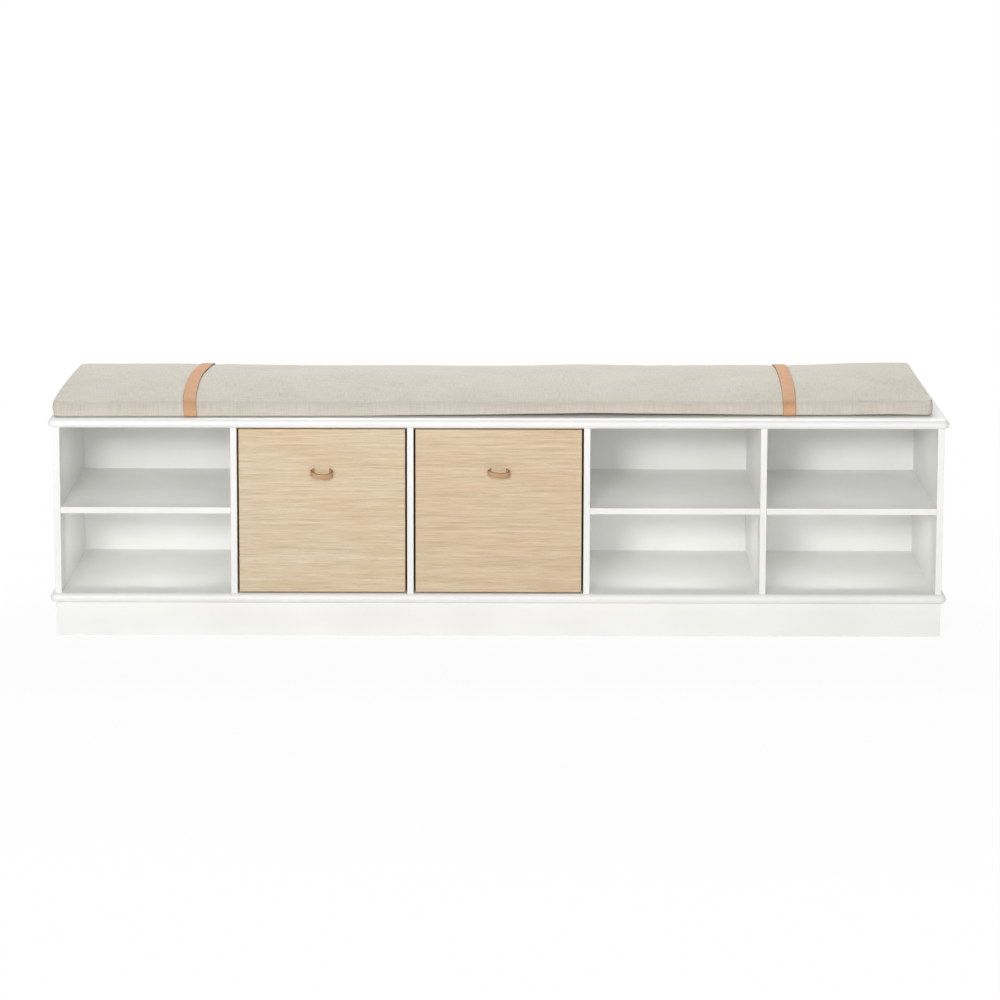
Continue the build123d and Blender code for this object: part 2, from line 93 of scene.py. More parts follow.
def add_node(tree: Tree, kind: str, *values: object, out: str = "", stops: Table = (),
             **named: object) -> Socket | None:
    """Add one node with its settings, constants and links.

    Args:
        tree: the node tree it goes into.
        kind: its type; ShaderNode may be left off.
        values: for its visible inputs in order, each a socket to link, a hex colour or a constant.
        out: name of the wanted output; without it the first visible one is meant.
        stops: places and hex colours of a colour ramp.
        named: settings of the node, in lower case, and values for inputs by name, with a capital and with _ for a
            space. A list holds all that is linked to one input.
    Returns:
        The wanted output, where the node has one.
    """
    node = tree.nodes.new(kind if "Node" in kind else f"ShaderNode{kind}")
    for name in filter(str.islower, named):
        setattr(node, name, named[name])
    pairs = list(zip([socket for socket in node.inputs if socket.enabled], values))
    pairs += [(node.inputs[name.replace("_", " ")], value) for name, value in named.items() if not name.islower()]
    for socket, value in pairs:
        for item in value if isinstance(value, list) else [value]:
            if isinstance(item, Socket):
                tree.links.new(item, socket)
            else:
                socket.default_value = linear(item) if isinstance(item, str) else item
    for _ in stops[2:]:
        node.color_ramp.elements.new(0.5)
    for index, (place, colour) in enumerate(stops):
        element = node.color_ramp.elements[index]
        element.position, element.color = place, linear(colour)
    visible = [socket for socket in node.outputs if socket.enabled]
    return node.outputs[out] if out else next(iter(visible), None)


def new_material(name: str) -> tuple[Material, Callable[..., Socket]]:
    """Make an empty node material.

    Args:
        name: what the real material is.
    Returns:
        The material, and add_node for its tree.
    """
    material = bpy.data.materials.new(name)
    material.use_nodes = True
    material.node_tree.nodes.clear()
    return material, partial(add_node, material.node_tree)


def per_period(periods_mm: float | Triple) -> Triple:
    """Scale at which one unit of a pattern is one period, given in millimetres for all axes or for each."""
    return tuple(1 / (p * MM) for p in (periods_mm if isinstance(periods_mm, tuple) else (periods_mm,) * 3))


def cloud(add: Callable[..., Socket], place: Socket, periods_mm: float | Triple, detail: float = 2.0,
          roughness: float = 0.5, shift: Triple = (0.0, 0.0, 0.0), out: str = "") -> Socket:
    """Random soft pattern of a real size.

    Args:
        add: add_node for the material's tree.
        place: coordinates in metres.
        periods_mm: size of the pattern, for all axes or for each.
        detail: how many finer patterns lie on top.
        roughness: how strong they are.
        shift: of the pattern, in periods.
        out: Color for three independent values.
    Returns:
        The pattern, about 0.5 on average.
    """
    scaled = add("Mapping", place, Scale=per_period(periods_mm), Location=shift)
    return add("TexNoise", scaled, 1.0, detail, roughness, out=out)


# --- Finishes ---

class GrainRun(Enum):
    """The way the grain of a board runs."""

    ALONG_X = 0
    ALONG_Y = 1


@dataclass(frozen=True)
class SatinLacquer:
    """Sprayed water-based lacquer on smooth board: even and white, with a very fine orange peel."""

    colour: str = "#f7f7f5"
    shade: str = "#f2f2ef"
    peel_mm: float = 1.6
    peel_depth: float = 0.006 * MM

    def build(self) -> Material:
        """Make the material.

        Returns:
            The material.
        """
        material, add = new_material("satin_white_lacquer")
        place = add("TexCoord", out="Object")
        tone, peel = cloud(add, place, 180), cloud(add, place, self.peel_mm, 1.5)
        sheen = add("MapRange", cloud(add, place, 60, 3.0), 0.2, 0.8)
        add("OutputMaterial", add(
            "BsdfPrincipled", IOR=1.5,
            Base_Color=add("ValToRGB", tone, stops=((0.35, self.shade), (0.65, self.colour))),
            Roughness=add("Math", sheen, 0.08, 0.34, operation="MULTIPLY_ADD"),
            Normal=add("Bump", Height=peel, Distance=self.peel_depth)))
        return material


@dataclass(frozen=True)
class OakVeneer:
    """Rift-cut oak veneer under matt oil: pale, with fine straight streaks and short open pores."""

    run: GrainRun = GrainRun.ALONG_X
    leaf: float = 0.0          # which leaf of the flitch, shifts the figure
    light: str = "#e4d4b9"
    middle: str = "#d9c5a7"
    dark: str = "#cab391"
    pore: str = "#b09672"
    rose: str = "#fff9f5"      # tint of the warmer clouds
    oil: str = "#ffffff"       # tint of the oiled leaf
    wander: float = 8 * MM     # how far the streaks stray over the length of a leaf
    pore_depth: float = 0.08 * MM

    def along(self, length: float, across: float) -> Triple:
        """Periods of a pattern that is long with the grain and narrow across it."""
        return tuple(length if axis == self.run.value else across for axis in range(3))

    def build(self) -> Material:
        """Make the material.

        Returns:
            The material.
        """
        material, add = new_material(f"oiled_oak_veneer_{self.run.name.lower()}_{self.leaf:g}")
        place = add("TexCoord", out="Object")
        shift = (self.leaf * 3.1, self.leaf * 5.7, self.leaf * 2.3)
        stray = cloud(add, place, self.along(500, 120), 1.0, shift=shift, out="Color")
        stray = add("VectorMath", stray, (0.5, 0.5, 0.5), operation="SUBTRACT")
        grain = add("VectorMath", place, add("VectorMath", stray, self.wander, operation="SCALE"))
        band, streak, fibre, pores = (
            cloud(add, grain, self.along(length, across), detail, roughness, shift)
            for length, across, detail, roughness in ((190, 6.0, 2.0, 0.5), (48, 1.9, 2.0, 0.6),
                                                      (18, 0.6, 2.0, 0.6), (6.0, 0.4, 1.0, 0.5)))
        pores = add("MapRange", pores, 0.62, 0.70)
        warmth = add("MapRange", cloud(add, place, self.along(150, 60), shift=shift), 0.42, 0.7)
        tone = add("Math", streak, 0.6, add("Math", band, 0.4, operation="MULTIPLY"), operation="MULTIPLY_ADD")
        colour = add("ValToRGB", tone, stops=((0.34, self.dark), (0.5, self.middle), (0.66, self.light)))
        fine = add("Math", add("MapRange", fibre, 0.3, 0.7), 0.16, operation="MULTIPLY")
        open_pores = add("Math", pores, 0.30, operation="MULTIPLY")
        for share, tint, blend in ((warmth, self.rose, "MULTIPLY"), (1.0, self.oil, "MULTIPLY"),
                                   (fine, self.dark, "MIX"), (open_pores, self.pore, "MIX")):
            colour = add("Mix", share, colour, tint, data_type="RGBA", blend_type=blend)
        depth = add("Math", add("Math", streak, 0.35, operation="MULTIPLY"), pores, operation="SUBTRACT")
        add("OutputMaterial", add(
            "BsdfPrincipled", Base_Color=colour, IOR=1.5,
            Roughness=add("Math", streak, 0.12, 0.48, operation="MULTIPLY_ADD"),
            Normal=add("Bump", Height=depth, Distance=self.pore_depth)))
        return material


@dataclass(frozen=True)
class VegetableTannedLeather:
    """Natural cowhide strap: pale tan face with pores and soft mottling, and painted shade on faces that point up."""

    name: str = "vegetable_tanned_leather"
    face: str = "#dbb08a"
    tint: str = "#d2a279"
    pore: str = "#bb8a62"
    # painted shade: tint multiplied in where the face points upwards
    upward_shade: str = "#f3e9e0"
    pore_mm: float = 1.1           # between the pores, drawn about twice as coarse as real ones, so that they show
    pore_depth: float = 0.05 * MM
    mottle_depth: float = 0.25 * MM

    def build(self) -> Material:
        """Make the material.

        Returns:
            The material.
        """
        material, add = new_material(self.name)
        place = add("TexCoord", out="Object")
        mottle = cloud(add, place, 14, 4.0, 0.6)
        cells = add("TexVoronoi", add("Mapping", place, Scale=per_period(self.pore_mm)), 1.0,
                    feature="DISTANCE_TO_EDGE")
        crease = add("MapRange", cells, 0.0, 0.14)
        colour = add("ValToRGB", mottle, stops=((0.3, self.tint), (0.62, self.face)))
        in_crease = add("Math", crease, -0.22, 0.22, operation="MULTIPLY_ADD")
        # painted shade: the leather is darker where its face points upwards
        upward_shade_mask = add("SeparateXYZ", add("TexCoord", out="Normal"), out="Z")
        for share, tint, blend in ((in_crease, self.pore, "MIX"),
                                   (add("MapRange", upward_shade_mask, 0.35, 0.95), self.upward_shade, "MULTIPLY")):
            colour = add("Mix", share, colour, tint, data_type="RGBA", blend_type=blend)
        below = add("Bump", Height=mottle, Distance=self.mottle_depth)
        add("OutputMaterial", add(
            "BsdfPrincipled", Base_Color=colour, IOR=1.45, Specular_IOR_Level=0.25,
            Roughness=add("Math", mottle, 0.16, 0.5, operation="MULTIPLY_ADD"),
            Normal=add("Bump", Height=crease, Distance=self.pore_depth, Normal=below)))
        return material


@dataclass(frozen=True)
class TwoToneFinish:
    """A plain finish in two tones, whose fibres, grain or layers also raise its surface."""

    name: str
    dark: str
    light: str
    periods_mm: Triple
    depth: float
    roughness: float = 0.8         # of the darkest places
    spread: float = 0.1            # how much rougher the lightest are
    detail: Triple = (4.0, 0.65, 0.4)      # finer patterns, their strength, and the share of a wide cloud
    tones: tuple[float, float] = (0.32, 0.68)
    ior: float = 1.5
    metallic: float = 0.0
    wide_periods: float = 9.0              # size of the wide cloud, over that of the fibres

    def build(self) -> Material:
        """Make the material.

        Returns:
            The material.
        """
        material, add = new_material(self.name)
        place = add("TexCoord", out="Object")
        finer, strength, wide = self.detail
        tone = fibres = cloud(add, place, self.periods_mm, finer, strength)
        if wide:
            far = tuple(p * self.wide_periods for p in self.periods_mm)
            shade = add("Math", cloud(add, place, far), wide, operation="MULTIPLY")
            tone = add("Math", fibres, 1 - wide, shade, operation="MULTIPLY_ADD")
        add("OutputMaterial", add(
            "BsdfPrincipled", IOR=self.ior, Metallic=self.metallic,
            Base_Color=add("ValToRGB", tone, stops=tuple(zip(self.tones, (self.dark, self.light)))),
            Roughness=add("Math", fibres, self.spread, self.roughness, operation="MULTIPLY_ADD"),
            Normal=add("Bump", Height=fibres, Distance=self.depth)))
        return material


# Felt is matt and dark, its hair drawn as clumps, far coarser than real, so that it shows. Plywood and spruce are raw
# wood with long fibres. Thread is twisted flax with a dull gleam of wax.
PRESSED_FELT = TwoToneFinish("pressed_wool_felt", "#38352f", "#56524d", (1.2, 1.2, 1.2), 0.25 * MM, 0.9)
RAW_BIRCH_PLY = TwoToneFinish("raw_birch_plywood", "#c09c66", "#dcc091", (9, 60, 1.4), 0.05 * MM, 0.65)
SAWN_SPRUCE = TwoToneFinish("sawn_spruce", "#bd9662", "#dcc294", (5, 40, 5), 0.12 * MM, 0.7)
LINEN_THREAD = TwoToneFinish("waxed_linen_thread", "#c9b48f", "#e9dcc2", (0.5, 0.5, 0.5), 0.08 * MM, 0.55)
# cut edge of a hide, rubbed with wax: dark brown and half glossy, with the layers of the hide along it
BURNISHED_EDGE = TwoToneFinish("burnished_leather_edge", "#8a5c38", "#a87650", (5, 5, 1.2), 0.12 * MM, 0.38, 0.2,
                               (3.0, 0.6, 0.0), (0.35, 0.7), 1.48)
# near-black cut edge of the straps round the cushion: partly the edge's own dye, partly painted shadow of the dark
# line beside the strap
DARK_EDGE_AND_SHADE = TwoToneFinish("dyed_leather_edge", "#2c1910", "#452a1c", (5, 5, 1.2), 0.12 * MM, 0.38, 0.2,
                          (3.0, 0.6, 0.0), (0.35, 0.7), 1.48)
# bright zinc on a pressed steel screw: a cool grey metal with faint turning marks, drawn coarser than real ones
ZINC_PLATED_STEEL = TwoToneFinish("zinc_plated_steel", "#a9aba9", "#cfd0cf", (0.8, 6, 0.8), 0.01 * MM, 0.28, 0.15,
                                  (3.0, 0.5, 0.0), (0.3, 0.7), metallic=1.0)


@dataclass(frozen=True)
class NaturalLinen:
    """Washed natural linen in a plain weave: grey-beige flax with thick and thin yarns, matt and dry."""

    name: str = "natural_linen"
    flax: str = "#d8d3c6"
    pale: str = "#e0dbcf"
    dark: str = "#cac4b6"
    between: str = "#b9b2a4"       # tint between the yarns
    yarn_mm: float = 0.9
    wobble: float = 0.6 * MM
    weave_depth: float = 0.14 * MM

    def build(self) -> Material:
        """Make the material.

        Returns:
            The material.
        """
        material, add = new_material(self.name)
        cloth = add("UVMap", uv_map="cloth_mm")
        wobble = add("VectorMath", cloud(add, cloth, 9), self.wobble, operation="SCALE")
        yarns = add("Mapping", add("VectorMath", cloth, wobble), Scale=per_period(self.yarn_mm))
        axes = add("SeparateXYZ", yarns).node.outputs
        warp, weft = (add("Math", add("Math", axes[axis], math.pi, operation="MULTIPLY"), operation="SINE")
                      for axis in "XY")
        weave = add("Math", add("Math", warp, weft, operation="MULTIPLY"), operation="ABSOLUTE")
        # thick and thin places of the yarns, long along each yarn and one or two yarns wide
        slubs = add("Math", cloud(add, cloth, (1.5, 30, 10), 3.0, 0.6),
                    cloud(add, cloth, (38, 1.4, 10), 3.0, 0.6, (3.0, 8.0, 0.0)))
        shade = add("Math", cloud(add, cloth, (160, 110, 90)), 0.18, operation="MULTIPLY")
        tone = add("Math", slubs, 0.41, shade, operation="MULTIPLY_ADD")
        colour = add("ValToRGB", tone, stops=((0.40, self.dark), (0.5, self.flax), (0.6, self.pale)))
        gap = add("Math", weave, -0.16, 0.16, operation="MULTIPLY_ADD")
        raised = add("Math", weave, 0.6, operation="MULTIPLY")
        add("OutputMaterial", add(
            "BsdfPrincipled", IOR=1.45, Specular_IOR_Level=0.2, Sheen_Weight=0.15, Sheen_Roughness=0.5,
            Base_Color=add("Mix", gap, colour, self.between, data_type="RGBA", blend_type="MULTIPLY"),
            Roughness=add("Math", slubs, 0.1, 0.78, operation="MULTIPLY_ADD"),
            Normal=add("Bump", Distance=self.weave_depth,
                       Height=add("Math", slubs, 0.5, raised, operation="MULTIPLY_ADD"))))
        return material


# --- Small helpers for meshes ---

def link(name: str, data: bpy.types.ID) -> Piece:
    """Put new data in the scene as an object at the origin.

    Args:
        name: of the object.
        data: a mesh, a lamp or a camera.
    Returns:
        The object.
    """
    piece = bpy.data.objects.new(name, data)
    bpy.context.scene.collection.objects.link(piece)
    return piece


def new_piece(name: str, vertices: Iterable, faces: Iterable, materials: Iterable[Material]) -> Piece:
    """Make a mesh object at the origin.

    Args:
        name: the piece's name.
        vertices: positions in metres.
        faces: tuples of vertex numbers, facing outwards.
        materials: its material slots.
    Returns:
        The object, shaded smooth.
    """
    mesh = bpy.data.meshes.new(name)
    mesh.from_pydata([tuple(v) for v in vertices], [], [tuple(f) for f in faces])
    mesh.validate()
    for material in materials:
        mesh.materials.append(material)
    mesh.shade_smooth()
    mesh.update()
    return link(name, mesh)


def recalculate_normals(piece: Piece) -> None:
    """Merge doubled vertices and turn every face outwards.

    Args:
        piece: whose mesh is put right.
    """
    bm = bmesh.new()
    bm.from_mesh(piece.data)
    bmesh.ops.remove_doubles(bm, verts=bm.verts, dist=1e-6)
    bmesh.ops.recalc_face_normals(bm, faces=bm.faces)
    bm.to_mesh(piece.data)
    bm.free()


def evaluated_mesh(piece: Piece) -> bpy.types.Mesh:
    """Plain mesh of a piece with its modifiers in it."""
    return bpy.data.meshes.new_from_object(piece.evaluated_get(bpy.context.evaluated_depsgraph_get()))


def apply_modifiers(piece: Piece) -> None:
    """Bake every modifier of a piece into its mesh.

    Args:
        piece: what gets the new mesh.
    """
    old, mesh = piece.data, evaluated_mesh(piece)
    piece.modifiers.clear()
    piece.data = mesh
    bpy.data.meshes.remove(old)


def sharpen(piece: Piece, degrees: float) -> None:
    """Shade a piece smooth, with hard edges where its faces meet at more than an angle."""
    piece.data.shade_smooth()
    piece.data.set_sharp_from_angle(angle=math.radians(degrees))


def dress(nodes: Iterable[str], material: Material) -> None:
    """Give nodes of the frame their finish.

    Args:
        nodes: names of the nodes.
        material: the finish.
    """
    for node in nodes:
        mesh = frame["nodes"][node].data
        mesh.materials.clear()
        mesh.materials.append(material)
        for polygon in mesh.polygons:
            polygon.material_index = 0


def hand_over(piece: Piece, body: str, slot: str, *nodes: str) -> None:
    """Tell the frame about a finished piece, and log it.

    Args:
        piece: the piece.
        body: what it moves with.
        slot: name of its material slot; not used.
        nodes: the nodes that it stands for, if any.
    """
    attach(piece, body)
    if nodes:
        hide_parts(*nodes)
    log.info("%s: %d faces", piece.name, len(piece.data.polygons))


def rounded_strip(width: float, thickness: float, ease: float, steps: int = 3) -> list[tuple[float, float, bool]]:
    """Outline of a strap's cross-section, anticlockwise.

    Args:
        width: across the strap, in metres.
        thickness: through the strap.
        ease: radius of its worn edges.
        steps: segments of each rounded corner.
    Returns:
        Points as (across, through, whether the next stretch is the cut edge).
    """
    points = []
    for side, face, start in ((1, 1, 0), (-1, 1, 90), (-1, -1, 180), (1, -1, 270)):
        for step in range(steps + 1):
            angle = math.radians(start + 90 * step / steps)
            past_middle = 2 * step >= steps
            points.append((side * (width / 2 - ease) + ease * math.cos(angle),
                           face * (thickness / 2 - ease) + ease * math.sin(angle),
                           past_middle if start in (90, 270) else not past_middle))
    return points


def sweep(name: str, path: list[Vector], across: list[Vector], outline: list[tuple[float, float, bool]],
          materials: list[Material], closed: bool) -> Piece:
    """Sweep a strap's cross-section along a path.

    Args:
        name: the piece's name.
        path: middle line.
        across: unit direction of the strap's width at each point.
        outline: the cross-section from rounded_strip.
        materials: face leather, then cut edge.
        closed: whether the path comes back to its start.
    Returns:
        The strap.
    """
    count, sides = len(path), len(outline)
    vertices, faces, edge_faces = [], [], []
    for i, (point, wide) in enumerate(zip(path, across)):
        before = path[i - 1] if closed or i else path[i]
        after = path[(i + 1) % count] if closed or i < count - 1 else path[i]
        through = wide.cross((after - before).normalized()).normalized()
        vertices += [point + wide * a + through * b for a, b, _ in outline]
    for i in range(count if closed else count - 1):
        here, there = i * sides, (i + 1) % count * sides
        for k in range(sides):
            m = (k + 1) % sides
            faces.append((here + k, here + m, there + m, there + k))
            edge_faces.append(outline[k][2])
    if not closed:
        faces += [tuple(reversed(range(sides))), tuple((count - 1) * sides + k for k in range(sides))]
        edge_faces += [True, True]
    piece = new_piece(name, vertices, faces, materials)
    for polygon, on_edge in zip(piece.data.polygons, edge_faces):
        polygon.material_index = int(on_edge)
    recalculate_normals(piece)
    sharpen(piece, 50)
    return piece


def arc(centre: Vector, start: Vector, axis: Vector, degrees: float, steps: int) -> list[Vector]:
    """Points of an arc, without its first one.

    Args:
        centre: of the circle.
        start: first point of the arc.
        axis: the arc turns about this by the right-hand rule.
        degrees: how far.
        steps: number of points.
    Returns:
        The points.
    """
    turns = (Matrix.Rotation(math.radians(degrees * (i + 1) / steps), 3, axis) for i in range(steps))
    return [centre + turn @ (start - centre) for turn in turns]


@dataclass
class Repeat:
    """A geometry node tree that sets one small part on each of some points, with its sizes as named inputs."""

    name: str
    sizes: dict[str, float]
    material: Material

    def __post_init__(self) -> None:
        """Start the tree, with a geometry input and the named sizes."""
        self.tree = bpy.data.node_groups.new(f"{self.name}_tree", "GeometryNodeTree")
        floats = [(label, "INPUT", "Float") for label in self.sizes]
        for label, way, kind in (("Geometry", "INPUT", "Geometry"), *floats, ("Geometry", "OUTPUT", "Geometry")):
            self.tree.interface.new_socket(label, in_out=way, socket_type=f"NodeSocket{kind}")
        self.add = partial(add_node, self.tree)
        self.source = self.add("NodeGroupInput").node.outputs

    def lay_out(self, part: Socket, points: list[Triple]) -> Piece:
        """Finish the tree, run it and keep its result as a plain mesh.

        Args:
            part: the small part in the tree.
            points: where the copies go.
        Returns:
            The piece, with no modifier.
        """
        placed = self.add("GeometryNodeInstanceOnPoints", self.source["Geometry"], Instance=part)
        real = self.add("GeometryNodeRealizeInstances", placed)
        self.add("NodeGroupOutput", self.add("GeometryNodeSetMaterial", real, Material=self.material))
        carrier = new_piece(f"{self.name}_points", points, [], [])
        modifier = carrier.modifiers.new("repeat", "NODES")
        modifier.node_group = self.tree
        for item in self.tree.interface.items_tree:
            if item.in_out == "INPUT" and item.name in self.sizes:
                modifier[item.identifier] = self.sizes[item.name]
        bpy.context.view_layer.update()
        mesh = evaluated_mesh(carrier)
        mesh.name = self.name
        mesh.shade_smooth()
        bpy.data.objects.remove(carrier)
        return link(self.name, mesh)


# --- Case ---

@dataclass
class Case:
    """The white case: boards with a half-round nose, uprights, shelves, back and plinth."""

    lacquer: SatinLacquer = SatinLacquer()
    white_nodes: tuple[str, ...] = ("side_left", "side_right", "divider_1", "divider_2", "divider_3", "divider_4",
                                    "shelf_1", "shelf_4", "shelf_5", "back_panel", "plinth_front", "plinth_back",
                                    "plinth_end_left", "plinth_end_right", "plinth_cross_rail_1",
                                    "plinth_cross_rail_2", "plinth_cross_rail_3")
    corner_radius: float = 12 * MM
    tightest_radius: float = 0.5 * MM
    nose_land: float = 0.2 * MM
    back_step: float = 6 * MM       # depth of the step for the back panel
    back_lap: float = 8 * MM        # its height
    end_stop: float = 15 * MM       # how far it ends from the ends of the board
    nose_segments: int = 20
    corner_segments: int = 12

    def nose_profile(self, thickness: float) -> list[tuple[float, float]]:
        """Half-round section of a board.

        Args:
            thickness: of the board.
        Returns:
            Inward offsets and heights, from the lower face to the upper one.
        """
        radius = thickness / 2 - self.nose_land / 2
        lower = [(radius - radius * math.sin(t), radius - radius * math.cos(t))
                 for t in np.linspace(0, math.pi / 2, self.nose_segments // 2 + 1)]
        return lower + [(offset, thickness - height) for offset, height in reversed(lower)]

    def outline(self, half_length: float, front: float, rear: float, offset: float) -> list[tuple[float, float]]:
        """Plan outline of a board.

        Args:
            half_length: of the board.
            front: where its front edge is.
            rear: where its rear edge is.
            offset: how far inwards the outline runs.
        Returns:
            Points from the rear left corner round the front to the rear right one.
        """
        radius = self.corner_radius - min(offset, self.corner_radius - self.tightest_radius)
        inset = offset + radius
        corners = [(side * (half_length - inset) + radius * math.cos(t), front + inset + radius * math.sin(t))
                   for side, start in ((-1, math.pi), (1, 1.5 * math.pi))
                   for t in np.linspace(start, start + math.pi / 2, self.corner_segments + 1)]
        return [(-half_length + offset, rear), *corners, (half_length - offset, rear)]

    def round_nosed_board(self, node: str, lap_upwards: bool, material: Material) -> Piece:
        """Build one board in the place of its node.

        Args:
            node: the node it stands for.
            lap_upwards: whether the step for the back panel is in the lower face.
            material: its finish.
        Returns:
            The board.
        """
        low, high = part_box(node)
        half_length = (high.x - low.x) / 2
        rows = [[Vector((x, y, low.z + height)) for x, y in self.outline(half_length, low.y, high.y, offset)]
                for offset, height in self.nose_profile(high.z - low.z)]
        width, count = len(rows[0]), len(rows)
        faces = [(i * width + k, i * width + k + 1, (i + 1) * width + k + 1, (i + 1) * width + k)
                 for i in range(count - 1) for k in range(width - 1)]
        left, right = ([i * width + end for i in range(count)] for end in (0, width - 1))
        faces += [range(width)[::-1], range((count - 1) * width, count * width), left + right[::-1]]
        board = new_piece(f"{node}_lacquered", [v for row in rows for v in row], faces, [material])
        recalculate_normals(board)
        self.cut_back_step(board, half_length - self.end_stop, high.y, low.z if lap_upwards else high.z)
        sharpen(board, 35)
        return board

    def cut_back_step(self, board: Piece, half: float, rear: float, face: float) -> None:
        """Cut the step for the back panel with a box.

        Args:
            board: what is cut.
            half: half the length of the step.
            rear: where the rear edge of the board is.
            face: height of the face that the step is in.
        """
        corners = [(x * half, rear + y * self.back_step, face + z * self.back_lap)
                   for x in (-1, 1) for y in (-1, 1) for z in (-1, 1)]
        sides = [(0, 1, 3, 2), (4, 6, 7, 5), (0, 4, 5, 1), (2, 3, 7, 6), (0, 2, 6, 4), (1, 5, 7, 3)]
        cutter = new_piece("back_step_cutter", corners, sides, [])
        boolean = board.modifiers.new("back_step", "BOOLEAN")
        boolean.operation, boolean.object, boolean.solver = "DIFFERENCE", cutter, "EXACT"
        apply_modifiers(board)
        bpy.data.objects.remove(cutter)

    def build(self) -> None:
        """Dress the case's nodes and build its two boards."""
        white = self.lacquer.build()
        dress(self.white_nodes, white)
        dress(("top_tongues", "bottom_tongues"), RAW_BIRCH_PLY.build())
        dress(["plinth_glue_blocks"], SAWN_SPRUCE.build())
        for node, lap_upwards in (("top_board", True), ("bottom_board", False)):
            hand_over(self.round_nosed_board(node, lap_upwards, white), "case", "white_lacquer", node)


# --- Toy boxes ---

